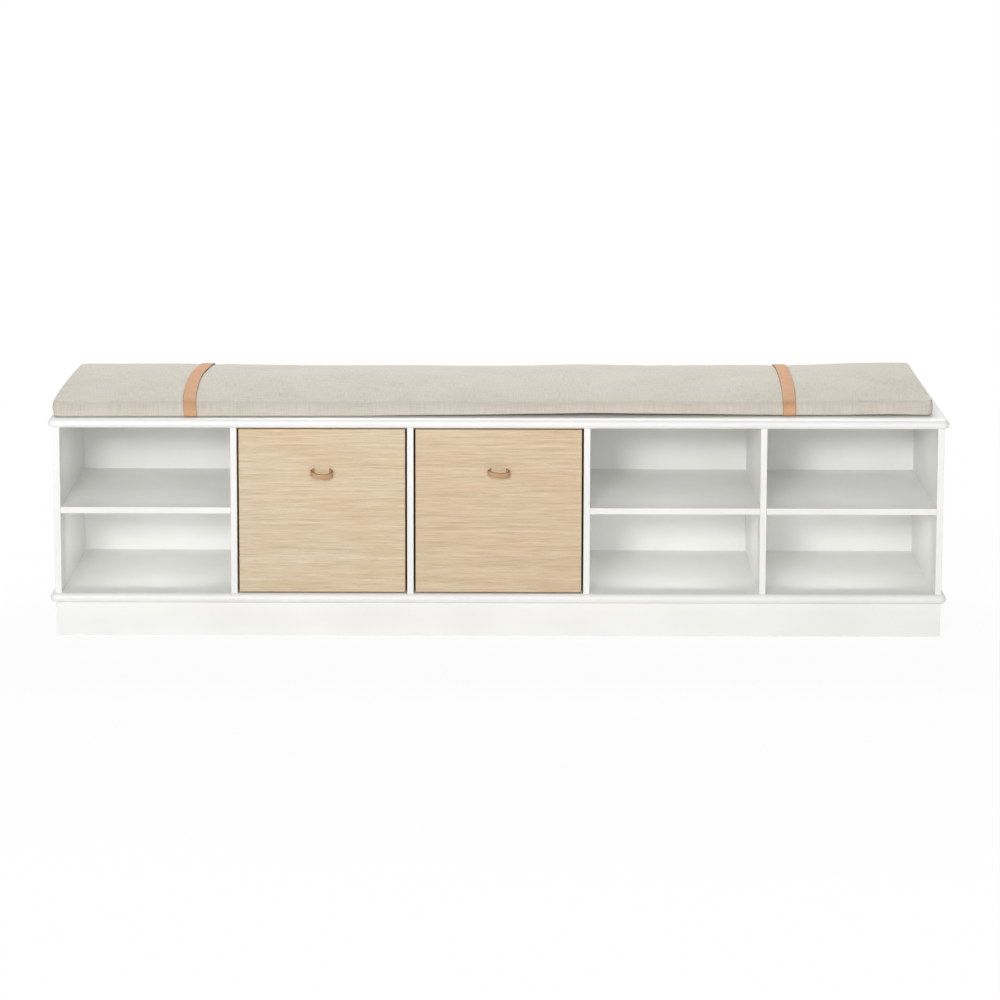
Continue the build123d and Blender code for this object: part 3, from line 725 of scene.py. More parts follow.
@dataclass
class ToyBox:
    """One pull-out box in oak veneer, with its leather pull loop and the screws that hold it."""

    side: str
    leaf: float                         # first leaf of veneer
    leather: Material
    edge: Material
    felt: Material
    steel: Material
    plywood: Material
    oil: str = "#ffffff"
    droop: float = 4.6 * MM             # of the middle of the bow, beyond the sagging plane
    strap_width: float = 10 * MM
    strap_thickness: float = 2.8 * MM
    strap_ease: float = 0.5 * MM
    slot_spacing: float = 31 * MM
    loop_drop: float = 79.5 * MM        # slots below the top edge of the front
    sag_degrees: float = 6.0
    neck_radius: float = 11 * MM
    flare_radius: float = 5.0 * MM
    flare_degrees: float = 45.0
    cheek_radius: float = 8.6 * MM
    bow_degrees: float = 30.0
    skew: float = 1.1 * MM              # how much lower the loop hangs on its right
    tilt_degrees: float = 14.0          # of the strap's face, at the bow
    fold_radius: float = 2.4 * MM
    tab_length: float = 17 * MM
    head_radius: float = 3.6 * MM
    head_height: float = 2.0 * MM
    head_dome: float = 0.34             # height of the dome over its radius
    head_sides: int = 28
    recess: float = 1.1 * MM            # width of the cross in the head
    recess_span: float = 1.1            # its length over the head's radius
    recess_cut: float = 2 * MM          # height of the cutter that makes it
    recess_place: float = 1.75 * MM     # middle of the cutter above the underside of the head
    body: str = field(init=False)

    def __post_init__(self) -> None:
        """Work out the body the box rides on."""
        self.body = f"toy_box_{self.side}"

    def node(self, name: str) -> str:
        """Full name of one of the box's nodes."""
        return f"{self.body}_{name}"

    def loop_half(self, x: float, front_y: float, inner_y: float, z: float) -> tuple[list[Vector], list[Vector]]:
        """Path of the right-hand half of the loop, from its tab behind the front to the middle of the bow.

        Args:
            x: middle of the box.
            front_y: outer face of the front.
            inner_y: inner face of the front.
            z: height of the slots.
        Returns:
            The points and the direction of the strap's width at each.
        """
        slot_x, steps = x + self.slot_spacing / 2, 6
        tab_y = inner_y + self.strap_thickness / 2
        bend = Vector((slot_x, tab_y - self.fold_radius, z))
        tab_start = Vector((slot_x + self.fold_radius, tab_y, z))
        path = [tab_start + ALONG * self.tab_length * (1 - i / steps) for i in range(steps + 1)]
        path += arc(bend + ALONG * self.fold_radius, tab_start, UP, 90, 8)
        path += [Vector((slot_x, bend.y + (front_y - bend.y) * (i + 1) / steps, z)) for i in range(steps)]
        across = [UP] * len(path)
        # the neck dips below the slot, turning the width of the strap forwards
        path += arc(path[-1] - UP * self.neck_radius, path[-1], ALONG, self.sag_degrees, steps)
        across += arc(Vector(), UP, ALONG, self.sag_degrees, steps)
        # flare outwards, round the cheek, and back to the middle in a flat bow, all in the sagging plane
        sag = math.radians(self.sag_degrees)
        wide = Vector((0, -math.sin(sag), math.cos(sag)))
        heading = Vector((0, -math.cos(sag), -math.sin(sag)))
        for radius, degrees, count in ((self.flare_radius, -self.flare_degrees, 8),
                                       (self.cheek_radius, self.flare_degrees + 90 - self.bow_degrees, 16),
                                       (None, self.bow_degrees, 12)):
            end = path[-1]
            radius = radius or (end.x - x) / math.sin(math.radians(self.bow_degrees))
            to_centre = heading.cross(wide) * math.copysign(radius, degrees)
            path += arc(end + to_centre, end, -wide, degrees, count)
            heading = Matrix.Rotation(math.radians(degrees), 3, -wide) @ heading
        return path, across + [wide] * (len(path) - len(across))

    def pull_loop(self) -> Piece:
        """Build the strap that runs through both slots.

        Returns:
            The strap.
        """
        low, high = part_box(self.node("front"))
        x = (low.x + high.x) / 2
        half, wide = self.loop_half(x, low.y, high.y, high.z - self.loop_drop)
        path = half + [Vector((2 * x - p.x, p.y, p.z)) for p in reversed(half[:-1])]
        across = wide + wide[-2::-1]
        reach = low.y - min(p.y for p in path)
        for i, point in enumerate(path):
            forward = max(0.0, low.y - point.y) / reach
            point.z -= forward ** 2 * self.droop + forward * (point.x - x) / (self.slot_spacing / 2) * self.skew
            across[i] = Matrix.Rotation(math.radians(self.tilt_degrees) * forward, 3, "X") @ across[i]
        outline = rounded_strip(self.strap_width, self.strap_thickness, self.strap_ease)
        return sweep(self.node("leather_pull"), path, across, outline, [self.leather, self.edge], closed=False)

    def pull_screws(self) -> Piece:
        """Build the two pan-head screws behind the front, their axes along Y.

        Returns:
            Both screws.
        """
        screws = Repeat(self.node("screw_heads"), {"Head radius": self.head_radius, "Recess": self.recess,
                                                   "Head height": 2 * self.head_height}, self.steel)
        add, radius = screws.add, screws.source["Head radius"]
        rim = add("GeometryNodeMeshCylinder", Vertices=self.head_sides, Radius=radius,
                  Depth=screws.source["Head height"], fill_type="NGON")
        ball = add("GeometryNodeMeshUVSphere", Segments=self.head_sides, Rings=12, Radius=radius)
        dome = add("GeometryNodeTransform", ball, Scale=(1.0, 1.0, self.head_dome))
        span = add("Math", radius, self.recess_span, operation="MULTIPLY")
        wing = add("GeometryNodeMeshCube", add("CombineXYZ", span, screws.source["Recess"], self.recess_cut))
        slot = add("GeometryNodeTransform", wing, Translation=(0.0, 0.0, self.recess_place))
        crossed = add("GeometryNodeTransform", slot, Rotation=(0.0, 0.0, math.radians(90)))
        head = add("GeometryNodeMeshBoolean", Mesh_2=[rim, dome], operation="INTERSECT", solver="EXACT")
        cut = add("GeometryNodeMeshBoolean", head, [slot, crossed], operation="DIFFERENCE", solver="EXACT")
        laid = add("GeometryNodeTransform", cut, Rotation=(math.radians(-90), 0.0, 0.0))
        low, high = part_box(self.node("pull_screws"))
        piece = screws.lay_out(laid, [(x, high.y - self.head_height, (low.z + high.z) / 2)
                                      for x in (low.x + self.head_radius, high.x - self.head_radius)])
        sharpen(piece, 30)
        return piece

    def build(self) -> None:
        """Dress the box's nodes and build its pull."""
        for number, (name, run) in enumerate((("front", GrainRun.ALONG_X), ("back_wall", GrainRun.ALONG_X),
                                              ("left_wall", GrainRun.ALONG_Y), ("right_wall", GrainRun.ALONG_Y))):
            dress([self.node(name)], OakVeneer(run=run, leaf=self.leaf + number, oil=self.oil).build())
        for name, material in (("bottom", self.plywood), ("felt_glides", self.felt), ("pull_screws", self.steel)):
            dress([self.node(name)], material)
        hand_over(self.pull_loop(), self.body, "tan_leather", self.node("pull_loop"))
        hand_over(self.pull_screws(), self.body, "zinc_steel")


# --- Seat cushion ---

@dataclass
class SeatCushion:
    """A foam seat cushion in a boxed linen cover, with two leather straps round it.

    Its own axes are u along its length, v from front to rear and w upwards from its underside.
    """

    linen: Material
    boxing: Material
    leather: Material
    edge: Material
    thread: Material
    length: float = 1654 * MM
    depth: float = 326 * MM
    offset: tuple[float, float] = (-11 * MM, 14 * MM)
    turn_degrees: float = 0.9
    corner_radius: float = 12 * MM
    lower_radius: float = 4 * MM
    front_height: float = 27 * MM
    back_height: float = 44 * MM
    front_slope: float = 31.0
    shoulder_turn: float = 24.0
    shoulder_radius: float = 120 * MM
    seam_land: float = 3 * MM
    strap_width: float = 24 * MM
    strap_thickness: float = 2.8 * MM
    strap_ease: float = 0.7 * MM
    strap_press: float = 1.6 * MM           # depth of the channel that it presses into the top
    press_reach: float = 17 * MM            # half the width of the channel
    front_press: float = 0.5 * MM           # its depth in the front
    strap_bow: float = 3.3 * MM             # how far the underside bows up over it
    bow_reach: float = 20 * MM              # half the width of the bow
    bow_inset: tuple[float, float] = (9 * MM, 12 * MM)      # it starts this far in, and is full so much further
    strap_gap: float = 0.6 * MM             # between the strap and the cover
    pitch: float = 9 * MM                   # of the grid away from the seams
    sink: float = 3.0 * MM                  # how far the unfilled top lies below the filled one
    swell_cap: float = 4.4 * MM
    pressure: float = 4.0
    frames: int = 20
    end_flattening: float = 0.85            # of the crown, at the seams of both ends
    seam_depth: float = 0.6 * MM
    gather_depth: float = 0.16 * MM         # of the puckers beside the seam
    gather_periods: tuple[float, float] = (23 * MM, 61 * MM)
    gather_reach: float = 5 * MM            # how far from the seam they run
    crease_depth: float = 0.45 * MM         # of the creases of the boxing
    crease_period: float = 83 * MM
    slack: float = 1.0 * MM                 # of the boxing
    wave_depth: float = 0.7 * MM
    wave_periods: tuple[float, float] = (430 * MM, 310 * MM)
    ear: float = 1.6 * MM                   # height of the drawn-out front corners
    ear_reach: float = 16 * MM
    end_reach: float = 90 * MM              # how far from an end it falls in
    foot_reach: tuple[float, float] = (70 * MM, 50 * MM)    # how far inwards the spread reaches, front and ends
    curl_start: float = 80 * MM             # in front of the middle, where the raised edge begins
    curl_reach: float = 70 * MM
    rays: int = 240                         # to find the line round the cushion where a strap lies
    ray_crowding: float = 7.0
    ray_height: float = 20 * MM
    lap_flat: float = 20 * MM               # half the length over which a strap is straight at its lap
    stitch_length: float = 3.2 * MM
    thread_radius: float = 0.35 * MM
    stitch_pitch: float = 4.4 * MM
    stitches_in_row: int = 6
    row_place: float = 8.5 * MM             # of each row, from the middle of the strap
    stitch_height: float = 0.12 * MM
    heights: tuple[float, ...] = (0.0, 0.05, 0.14, 0.28, 0.45, 0.62, 0.78, 0.90, 0.965, 1.0)
    body: str = "seat_cushion"

    # how the used filling lies: place along the length, then extra height, both in mm
    lie: Table = ((-830, 1.0), (-650, -0.2), (-400, -2.6), (-60, -4.8), (60, -3.8), (160, -1.8), (300, -4.8),
                  (470, -2.8), (620, -3.4), (740, 0.4), (830, 1.8))
    # how the straps lie aslant over the top: place from front to rear, then sideways shift, both in mm
    slant_left: Table = ((-163, -2.2), (-148, -2.9), (-113, -3.6), (-57, -2.3), (13, 1.0), (60, 6.0), (163, 12.0))
    slant_right: Table = ((-163, 0.0), (-148, 0.8), (-113, 3.0), (-57, 5.2), (13, 6.4), (60, 8.5), (163, 11.0))
    foot_shift: tuple[float, float] = (1.5 * MM, 0.0)    # of the left and the right strap, at the lower front edge
    # how far the lower front edge is raised off the seat: place along the length, then height, both in mm
    curl: Table = ((-830, 0.0), (-250, 0.3), (-190, 1.3), (0, 2.9), (95, 4.4), (190, 5.5), (285, 4.2), (380, 3.5),
                   (470, 2.1), (530, 1.4), (600, 1.0), (655, 1.0), (715, 2.0), (755, 2.3), (790, 1.5), (830, 0.5))
    # how far the soft lower edge spreads beyond the seam: at the left end, at the right end and at both ends
    spread: Triple = (13 * MM, 9 * MM, 4 * MM)
    # how far the ends fall in from front to rear: place from 0 to 1, then sideways shift in mm
    left_end: Table = ((0, -5.0), (0.25, -2.0), (1, 15.0))
    right_end: Table = ((0, 2.5), (0.25, 0.2), (0.6, -1.6), (1, -1.2))

    def __post_init__(self) -> None:
        """Work out where the cushion and its straps lie."""
        turn = Matrix.Rotation(math.radians(self.turn_degrees), 4, "Z")
        self.own_axes = Matrix.Translation((*self.offset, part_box("cushion_cover")[0].z)) @ turn
        self.half_u, self.half_v = self.length / 2, self.depth / 2
        self.strap_places = {}
        for side in ("left", "right"):
            low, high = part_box(f"cushion_strap_{side}")
            self.strap_places[side] = ((low + high) / 2 - self.own_axes.translation).dot(turn @ ALONG)

    def place(self, piece: Piece) -> None:
        """Turn and move a piece's mesh from the cushion's own axes to its place."""
        piece.data.transform(self.own_axes)
        piece.data.update()

    def crown(self, v: np.ndarray) -> np.ndarray:
        """Height of the top panel: a shoulder arc, then a flat one.

        Args:
            v: places between front and rear.
        Returns:
            The height at each.
        """
        slope, r = math.radians(self.front_slope), self.shoulder_radius
        low = slope - math.radians(self.shoulder_turn)
        start = np.array([-self.half_v + self.seam_land * math.cos(slope),
                          self.front_height + self.seam_land * math.sin(slope)])
        centre = start + r * np.array([math.sin(slope), -math.cos(slope)])
        join = centre + r * np.array([-math.sin(low), math.cos(low)])
        chord = np.array([self.half_v - self.seam_land, self.back_height]) - join
        normal = np.array([math.sin(low), -math.cos(low)])
        big = chord @ chord / (2 * chord @ normal)
        middle = join + big * normal
        shoulder = centre[1] + np.sqrt(np.maximum(r * r - (v - centre[0]) ** 2, 0))
        back = middle[1] + np.sqrt(np.maximum(big * big - (v - middle[0]) ** 2, 0))
        before = start[1] + (v - start[0]) * math.tan(slope)
        return np.where(v < start[0], before, np.where(v < join[0], shoulder, back))

    def top_height(self, u: np.ndarray, v: np.ndarray) -> np.ndarray:
        """Height of the top panel anywhere: the crown, which flattens towards the seam at each end.

        Args:
            u: places along the length.
            v: places from front to rear.
        Returns:
            The height at each.
        """
        v = np.clip(v, -self.half_v, self.half_v)
        crown = self.crown(v)
        straight = self.front_height + (self.back_height - self.front_height) * (v + self.half_v) / self.depth
        return crown + (straight - crown) * self.end_flattening * np.exp(-(self.half_u - np.abs(u)) / (45 * MM))

    def grid_lines(self, half: float) -> np.ndarray:
        """Grid lines across a panel, close together beside the seams.

        Args:
            half: half the width of the panel.
        Returns:
            Places from one seam to the opposite one.
        """
        beside = np.cumsum([0.0, 1.5, 2.5, 4.0, 5.0, 7.0]) * MM
        inner = half - beside[-1] - self.pitch
        middle = np.linspace(-inner, inner, round(2 * inner / self.pitch) + 1)
        return np.concatenate([-half + beside, middle, half - beside[::-1]])

    @staticmethod
    def lattice(n_u: int, n_v: int, n_w: int) -> tuple[np.ndarray, list[tuple[int, ...]]]:
        """Number the vertices of a box's skin.

        Args:
            n_u: cells along the length.
            n_v: cells from front to rear.
            n_w: cells upwards.
        Returns:
            Lattice numbers of each vertex, and quads that face outwards.
        """
        numbers: dict[tuple[int, ...], int] = {}

        def quad(corners: list[tuple[int, ...]], forward: bool = True) -> tuple[int, ...]:
            """Numbers of four lattice places, each given on its first use, in the order that faces outwards."""
            found = tuple(numbers.setdefault(corner, len(numbers)) for corner in corners)
            return found if forward else found[::-1]

        ring = ((0, 0), (1, 0), (1, 1), (0, 1))
        faces = []
        for i in range(n_u):
            for j in range(n_v):
                faces.append(quad([(i + a, j + b, n_w) for a, b in ring]))
                faces.append(quad([(i + b, j + a, 0) for a, b in ring]))
        for k in range(n_w):
            for i in range(n_u):
                faces += [quad([(i + a, j, k + b) for a, b in ring], j == 0) for j in (0, n_v)]
            for j in range(n_v):
                faces += [quad([(i, j + a, k + b) for a, b in ring], i == n_u) for i in (n_u, 0)]
        return np.array(list(numbers)), faces

    @staticmethod
    def square_to_disc(a: np.ndarray, b: np.ndarray) -> tuple[np.ndarray, np.ndarray]:
        """Bend the corner of a square into a quarter circle."""
        return a * np.sqrt(1 - b * b / 2), b * np.sqrt(1 - a * a / 2)

    def skin(self) -> tuple[np.ndarray, list[tuple[int, ...]]]:
        """The cover before it is filled, with its seams where they end up.

        Returns:
            Points in the cushion's own axes, and quads.
        """
        half_u, half_v, r, rl = self.half_u, self.half_v, self.corner_radius, self.lower_radius
        u_lines, v_lines, steps = self.grid_lines(half_u), self.grid_lines(half_v), np.array(self.heights)
        numbers, faces = self.lattice(len(u_lines) - 1, len(v_lines) - 1, len(steps) - 1)
        i, j, k = numbers.T
        u, v, share = u_lines[i], v_lines[j], steps[k]
        self.on_top, self.on_bottom, self.share = k == len(steps) - 1, k == 0, share
        self.on_rim = (i == 0) | (i == len(u_lines) - 1) | (j == 0) | (j == len(v_lines) - 1)
        from_rim = np.minimum(half_u - np.abs(u), half_v - np.abs(v))
        a, b = np.clip((np.abs(u) - half_u + r) / r, 0, 1), np.clip((np.abs(v) - half_v + r) / r, 0, 1)
        da, db = self.square_to_disc(a, b)
        u = np.where(a > 0, np.sign(u) * (half_u - r + r * da), u)
        v = np.where(b > 0, np.sign(v) * (half_v - r + r * db), v)
        w = share * self.top_height(u, v)
        w -= np.where(self.on_top, self.sink * (1 - np.exp(-from_rim / (9 * MM))), 0)
        # round the lower edges, and leave the boxing a little slack
        q_u, q_v = np.abs(u) - (half_u - r), np.abs(v) - (half_v - r)
        in_corner, reach = (q_u > 0) & (q_v > 0), np.maximum(np.hypot(q_u, q_v), 1e-9)
        inside = np.where(in_corner, r - reach, np.minimum(half_u - np.abs(u), half_v - np.abs(v)))
        along_u = (half_u - np.abs(u)) < (half_v - np.abs(v))
        n_u = np.where(in_corner, np.sign(u) * q_u / reach, np.where(along_u, np.sign(u), 0))
        n_v = np.where(in_corner, np.sign(v) * q_v / reach, np.where(along_u, 0, np.sign(v)))
        self.outward = np.stack([n_u, n_v, np.zeros(len(u))], 1)
        a, b = np.clip((rl - np.maximum(inside, 0)) / rl, 0, 1), np.clip((rl - w) / rl, 0, 1)
        da, db = self.square_to_disc(a, b)
        both = (a > 0) & (b > 0)
        give = np.where(both, (da - a) * rl, 0) - np.where(self.on_rim, self.slack * np.sin(math.pi * share), 0)
        w = np.where(both, rl - rl * db, w)
        return np.stack([u + n_u * give, v + n_v * give, w], 1), faces

    def build_cover(self) -> Piece:
        """Fill the cover by simulation, then shape its seams and the way it lies.

        Returns:
            The cover in its place.
        """
        points, faces = self.skin()
        cover = new_piece("linen_seat_cushion", points, faces, [self.linen, self.boxing])
        for polygon in cover.data.polygons:
            corners = list(polygon.vertices)
            polygon.material_index = int(not (all(self.on_top[corners]) or all(self.on_bottom[corners])))
        self.swell(cover, points)
        self.shape(cover)
        self.lay_cloth(cover)
        self.place(cover)
        subdivision = cover.modifiers.new("soft", "SUBSURF")
        subdivision.levels = subdivision.render_levels = 1
        apply_modifiers(cover)
        cover.data.shade_smooth()
        return cover

    def swell(self, cover: Piece, rest: np.ndarray) -> None:
        """Blow the cover up with cloth simulation, its seams and underside held, and cap how far it moves.

        Args:
            cover: the cover, which gets its swollen shape.
            rest: its points before.
        """
        held = cover.vertex_groups.new(name="held")
        held.add(np.flatnonzero(self.on_bottom | (self.on_top & self.on_rim)).tolist(), 1.0, "REPLACE")
        cloth = cover.modifiers.new("filling", "CLOTH")
        settings, scene = cloth.settings, bpy.context.scene
        settings.use_pressure = True
        settings.uniform_pressure_force = self.pressure
        settings.effector_weights.gravity = 0.0
        settings.vertex_group_mass = "held"
        settings.quality = 6
        settings.tension_stiffness = settings.compression_stiffness = 25.0
        settings.bending_stiffness = 1.5
        cloth.collision_settings.use_collision = False
        cloth.point_cache.frame_start, cloth.point_cache.frame_end = 1, self.frames
        scene.frame_start, scene.frame_end = 1, self.frames
        for number in range(1, self.frames + 1):
            scene.frame_set(number)
        evaluated = cover.evaluated_get(bpy.context.evaluated_depsgraph_get())
        move = np.array([v.co for v in evaluated.data.vertices]) - rest
        cover.modifiers.clear()
        scene.frame_set(1)
        far = np.linalg.norm(move, axis=1)
        log.info("cushion swelled by %.1f mm at most", far.max() / MM)
        cap = np.where(self.on_rim, 0.4, 1.0) * self.swell_cap
        scale = np.where(far > 1e-9, cap * np.tanh(far / cap) / np.maximum(far, 1e-9), 0)
        cover.data.vertices.foreach_set("co", (rest + move * scale[:, None]).ravel())
        cover.data.update()

    def shape(self, cover: Piece) -> None:
        """Pull in the seams, crease the boxing, press in the straps and let the cushion lie as it does in use.

        Args:
            cover: the swollen cover.
        """
        co = np.array([v.co for v in cover.data.vertices])
        normals = np.array([v.normal for v in cover.data.vertices])
        u, v, w = co.T.copy()
        half_u, half_v, turn = self.half_u, self.half_v, 2 * math.pi
        upper = w / np.maximum(self.top_height(u, v), 1e-6)
        around = u + np.sign(u) * v * 1.3
        short, long = self.gather_periods
        gather = (np.sin(around * turn / short + 2.2 * np.sin(around * 29))
                  + 0.7 * np.sin(around * turn / long + 1.0))
        near_seam = self.on_top & (np.minimum(half_u - np.abs(u), half_v - np.abs(v)) < self.gather_reach)
        beside_seam = np.where(self.on_rim, (self.share > 0.85) & ~self.on_top, near_seam)
        pull = self.on_rim * (self.on_top * self.seam_depth + self.on_bottom * self.seam_depth / 2)
        co += normals * (beside_seam * gather * self.gather_depth - pull)[:, None]
        creases = np.sin(around * turn / self.crease_period + 3 * np.sin(around * 11))
        creases *= np.sin(math.pi * self.share) ** 2
        co += self.outward * (self.on_rim * creases * self.crease_depth)[:, None]
        # long, low waves of the used filling
        places, extra = np.array(self.lie).T * MM
        wave = np.interp(u, places, extra) * np.clip((v + half_v) / (0.6 * self.depth), 0.25, 1)
        long, short = self.wave_periods
        wave += np.sin(u * turn / long + 0.6) * np.sin(v * turn / short + 0.9) * self.wave_depth
        co[:, 2] += wave * upper ** 2
        self.set_corners(co, u, v, upper)
        # the straps press into the top and the cover bows up over them below
        for side, middle in self.strap_places.items():
            from_strap = np.abs(u - middle - self.sway(side, v, w))
            press = 1 / (1 + (from_strap / self.press_reach) ** 4)
            co[:, 2] -= press * upper ** 2 * self.strap_press
            co[:, 1] += press * np.where((v < 0) & (upper > 0.25), self.front_press, 0)
            below = 1 / (1 + (from_strap / self.bow_reach) ** 8)
            inner = np.clip((half_v - np.abs(v) - self.bow_inset[0]) / self.bow_inset[1], 0, 1)
            co[:, 2] += below * inner * np.clip(1 - upper * 3, 0, 1) * self.strap_bow
        # the filling spreads at its foot, and the lower front edge is raised off the seat in places
        foot, (deep, wide) = np.clip(1 - upper, 0, 1), self.foot_reach
        reach = np.interp(u, [-half_u, half_u], self.spread[:2])
        co[:, 1] -= reach * np.sin(math.pi / 2 * foot) * np.clip((-v - half_v + deep) / deep, 0, 1) ** 1.5
        co[:, 0] += (np.sign(u) * self.spread[2] * np.sin(math.pi * np.clip(foot, 0, 0.9))
                     * np.clip((np.abs(u) - half_u + wide) / wide, 0, 1) ** 1.5)
        places, raised = np.array(self.curl).T * MM
        forward = np.clip((-v - self.curl_start) / self.curl_reach, 0, 1)
        co[:, 2] += np.interp(u, places, raised) * forward ** 2 * foot
        cover.data.vertices.foreach_set("co", co.ravel())
        cover.data.update()

    def set_corners(self, co: np.ndarray, u: np.ndarray, v: np.ndarray, upper: np.ndarray) -> None:
        """Draw the front corners out into small ears and let the rear corners of the ends fall in.

        Args:
            co: points that are moved.
            u: their places along the length, before.
            v: their places from front to rear, before.
            upper: their heights over that of the top panel, before.
        """
        end, front = np.abs(u) - self.half_u, v + self.half_v
        near_end = np.clip((end + self.end_reach) / self.end_reach, 0, 1) ** 2
        tables = (self.left_end, self.right_end)
        left, right = (np.interp(front / self.depth, *zip(*table)) * MM for table in tables)
        co[:, 0] += near_end * (0.45 + 0.55 * np.clip(upper, 0, 1)) * np.where(u < 0, left, right)
        corner = np.exp(-((end / self.ear_reach) ** 2 + (front / self.ear_reach) ** 2))
        co[:, 2] += corner * upper ** 3 * self.ear

    @staticmethod
    def lay_cloth(cover: Piece) -> None:
        """Write where the weave lies on each panel, in metres.

        Args:
            cover: the cover in its own axes.
        """
        mesh = cover.data
        layer = mesh.uv_layers.new(name="cloth_mm")
        for polygon in mesh.polygons:
            normal = polygon.normal
            across = 2 if polygon.material_index == 0 else (0 if abs(normal.x) > abs(normal.y) else 1)
            for loop in polygon.loop_indices:
                place = mesh.vertices[mesh.loops[loop].vertex_index].co
                layer.data[loop].uv = [place[axis] for axis in range(3) if axis != across]

    def sway(self, side: str, v: np.ndarray, w: np.ndarray) -> np.ndarray:
        """Sideways shift of a strap, which lies slightly aslant and is straight at its sewn lap.

        Args:
            side: left or right.
            v: places from front to rear.
            w: heights above the underside.
        Returns:
            The shift at each place.
        """
        on_left = side == "left"
        places, shift = np.array(self.slant_left if on_left else self.slant_right).T * MM
        foot = self.foot_shift[0 if on_left else 1]
        over = np.interp(v, places, shift)
        under = np.interp(v, [places[0], -self.lap_flat, self.lap_flat, places[-1]], [foot, 0, 0, shift[-1]])
        return under + (over - under) * np.clip(w / (20 * MM), 0, 1)

    def section(self, skin: BVHTree, side: str) -> list[Vector]:
        """Line round the cushion where a strap lies, taken from its finished skin.

        Args:
            skin: the cover in the cushion's own axes.
            side: left or right.
        Returns:
            Points round it, from the middle of the underside over the front.
        """
        centre = Vector((self.strap_places[side], 0, self.ray_height))
        points = []
        for angle in np.linspace(-math.pi / 2, 1.5 * math.pi, self.rays, endpoint=False):
            # rays crowd towards the front and rear faces, which lie far from the centre
            direction = Vector((0, -math.cos(angle) * self.ray_crowding, math.sin(angle))).normalized()
            first = skin.ray_cast(centre, direction)[0]
            points.append(skin.ray_cast(centre + ALONG * float(self.sway(side, first.y, first.z)), direction)[0])
        return points

    @staticmethod
    def lift(line: list[Vector], guide: list[Vector], heights: list[float], floor: float) -> list[Vector]:
        """Move the points of a closed line outwards, but not below a floor.

        Args:
            line: the points.
            guide: the line that outwards is square to.
            heights: how far each point moves.
            floor: the least height above the underside.
        Returns:
            The moved points.
        """
        lifted = []
        for i, (point, height) in enumerate(zip(line, heights)):
            ahead = (guide[(i + 1) % len(guide)] - guide[i - 1]).normalized()
            place = point + ALONG.cross(ahead) * height
            lifted.append(Vector((place.x, place.y, max(place.z, floor))))
        return lifted

    def strap(self, side: str, skin: BVHTree) -> Piece:
        """Build one strap round the cushion.

        Args:
            side: left or right.
            skin: the cover in the cushion's own axes.
        Returns:
            The strap.
        """
        line = self.section(skin, side)
        floor = self.strap_thickness / 2 + 0.05 * MM
        line = self.lift(line, line, [self.strap_thickness / 2 + self.strap_gap] * len(line), floor)
        line = self.tighten(self.even(line), floor)
        outline = rounded_strip(self.strap_width, self.strap_thickness, self.strap_ease, steps=4)
        strap = sweep(f"leather_strap_{side}", line, [ALONG] * len(line), outline, [self.leather, self.edge],
                      closed=True)
        self.place(strap)
        return strap

    def tighten(self, line: list[Vector], floor: float) -> list[Vector]:
        """Round off a strap's path where stiff leather can't follow the cover, without sinking in.

        Args:
            line: points of the closed path.
            floor: the least height above the underside.
        Returns:
            The tightened path.
        """
        smooth, count = list(line), len(line)
        for _ in range(14):
            smooth = [(smooth[i - 1] + p * 2 + smooth[(i + 1) % count]) / 4 for i, p in enumerate(smooth)]
        sunk = []
        for i, (near, soft) in enumerate(zip(line, smooth)):
            ahead = (smooth[(i + 1) % count] - smooth[i - 1]).normalized()
            sunk.append(max(0.0, (near - soft).dot(ALONG.cross(ahead))) * 0.75)
        return self.lift(smooth, smooth, sunk, floor)

    @staticmethod
    def even(line: list[Vector], spacing: float = 3 * MM) -> list[Vector]:
        """Space the points of a closed line evenly.

        Args:
            line: the points.
            spacing: roughly how far apart they end up.
        Returns:
            The new points.
        """
        ring = np.array([tuple(p) for p in (*line, line[0])])
        steps = np.cumsum([0.0] + [(b - a).length for a, b in zip(line, (*line[1:], line[0]))])
        places = np.linspace(0, steps[-1], max(8, round(steps[-1] / spacing)), endpoint=False)
        return [Vector([float(np.interp(s, steps, ring[:, axis])) for axis in range(3)]) for s in places]

    def stitches(self) -> Piece:
        """Sew the ends of each strap together on the underside, with two rows of short bulging stitches.

        Returns:
            All the stitches.
        """
        sizes = {"Stitch length": self.stitch_length, "Thread radius": self.thread_radius}
        sewn = Repeat("strap_stitches", sizes, self.thread)
        add, thread = sewn.add, sewn.source["Thread radius"]
        half = add("Math", sewn.source["Stitch length"], 0.5, operation="MULTIPLY")
        ball = add("GeometryNodeMeshUVSphere", Segments=8, Rings=8, Radius=1.0)
        stitch = add("GeometryNodeTransform", ball, Scale=add("CombineXYZ", thread, half, thread))
        middle_step = (self.stitches_in_row - 1) / 2
        piece = sewn.lay_out(stitch, [(middle + row * self.row_place, (step - middle_step) * self.stitch_pitch,
                                       self.stitch_height) for middle in self.strap_places.values()
                                      for row in (-1, 1) for step in range(self.stitches_in_row)])
        self.place(piece)
        return piece

    def build(self) -> None:
        """Build the cover, the straps and the stitches."""
        cover = self.build_cover()
        hand_over(cover, self.body, "linen_cover", "cushion_cover", "cushion_foam")
        back = self.own_axes.inverted()
        skin = BVHTree.FromPolygons([back @ v.co for v in cover.data.vertices],
                                    [tuple(p.vertices) for p in cover.data.polygons])
        for side in self.strap_places:
            hand_over(self.strap(side, skin), self.body, "tan_leather", f"cushion_strap_{side}")
        hand_over(self.stitches(), self.body, "tan_leather")


# --- Studio ---

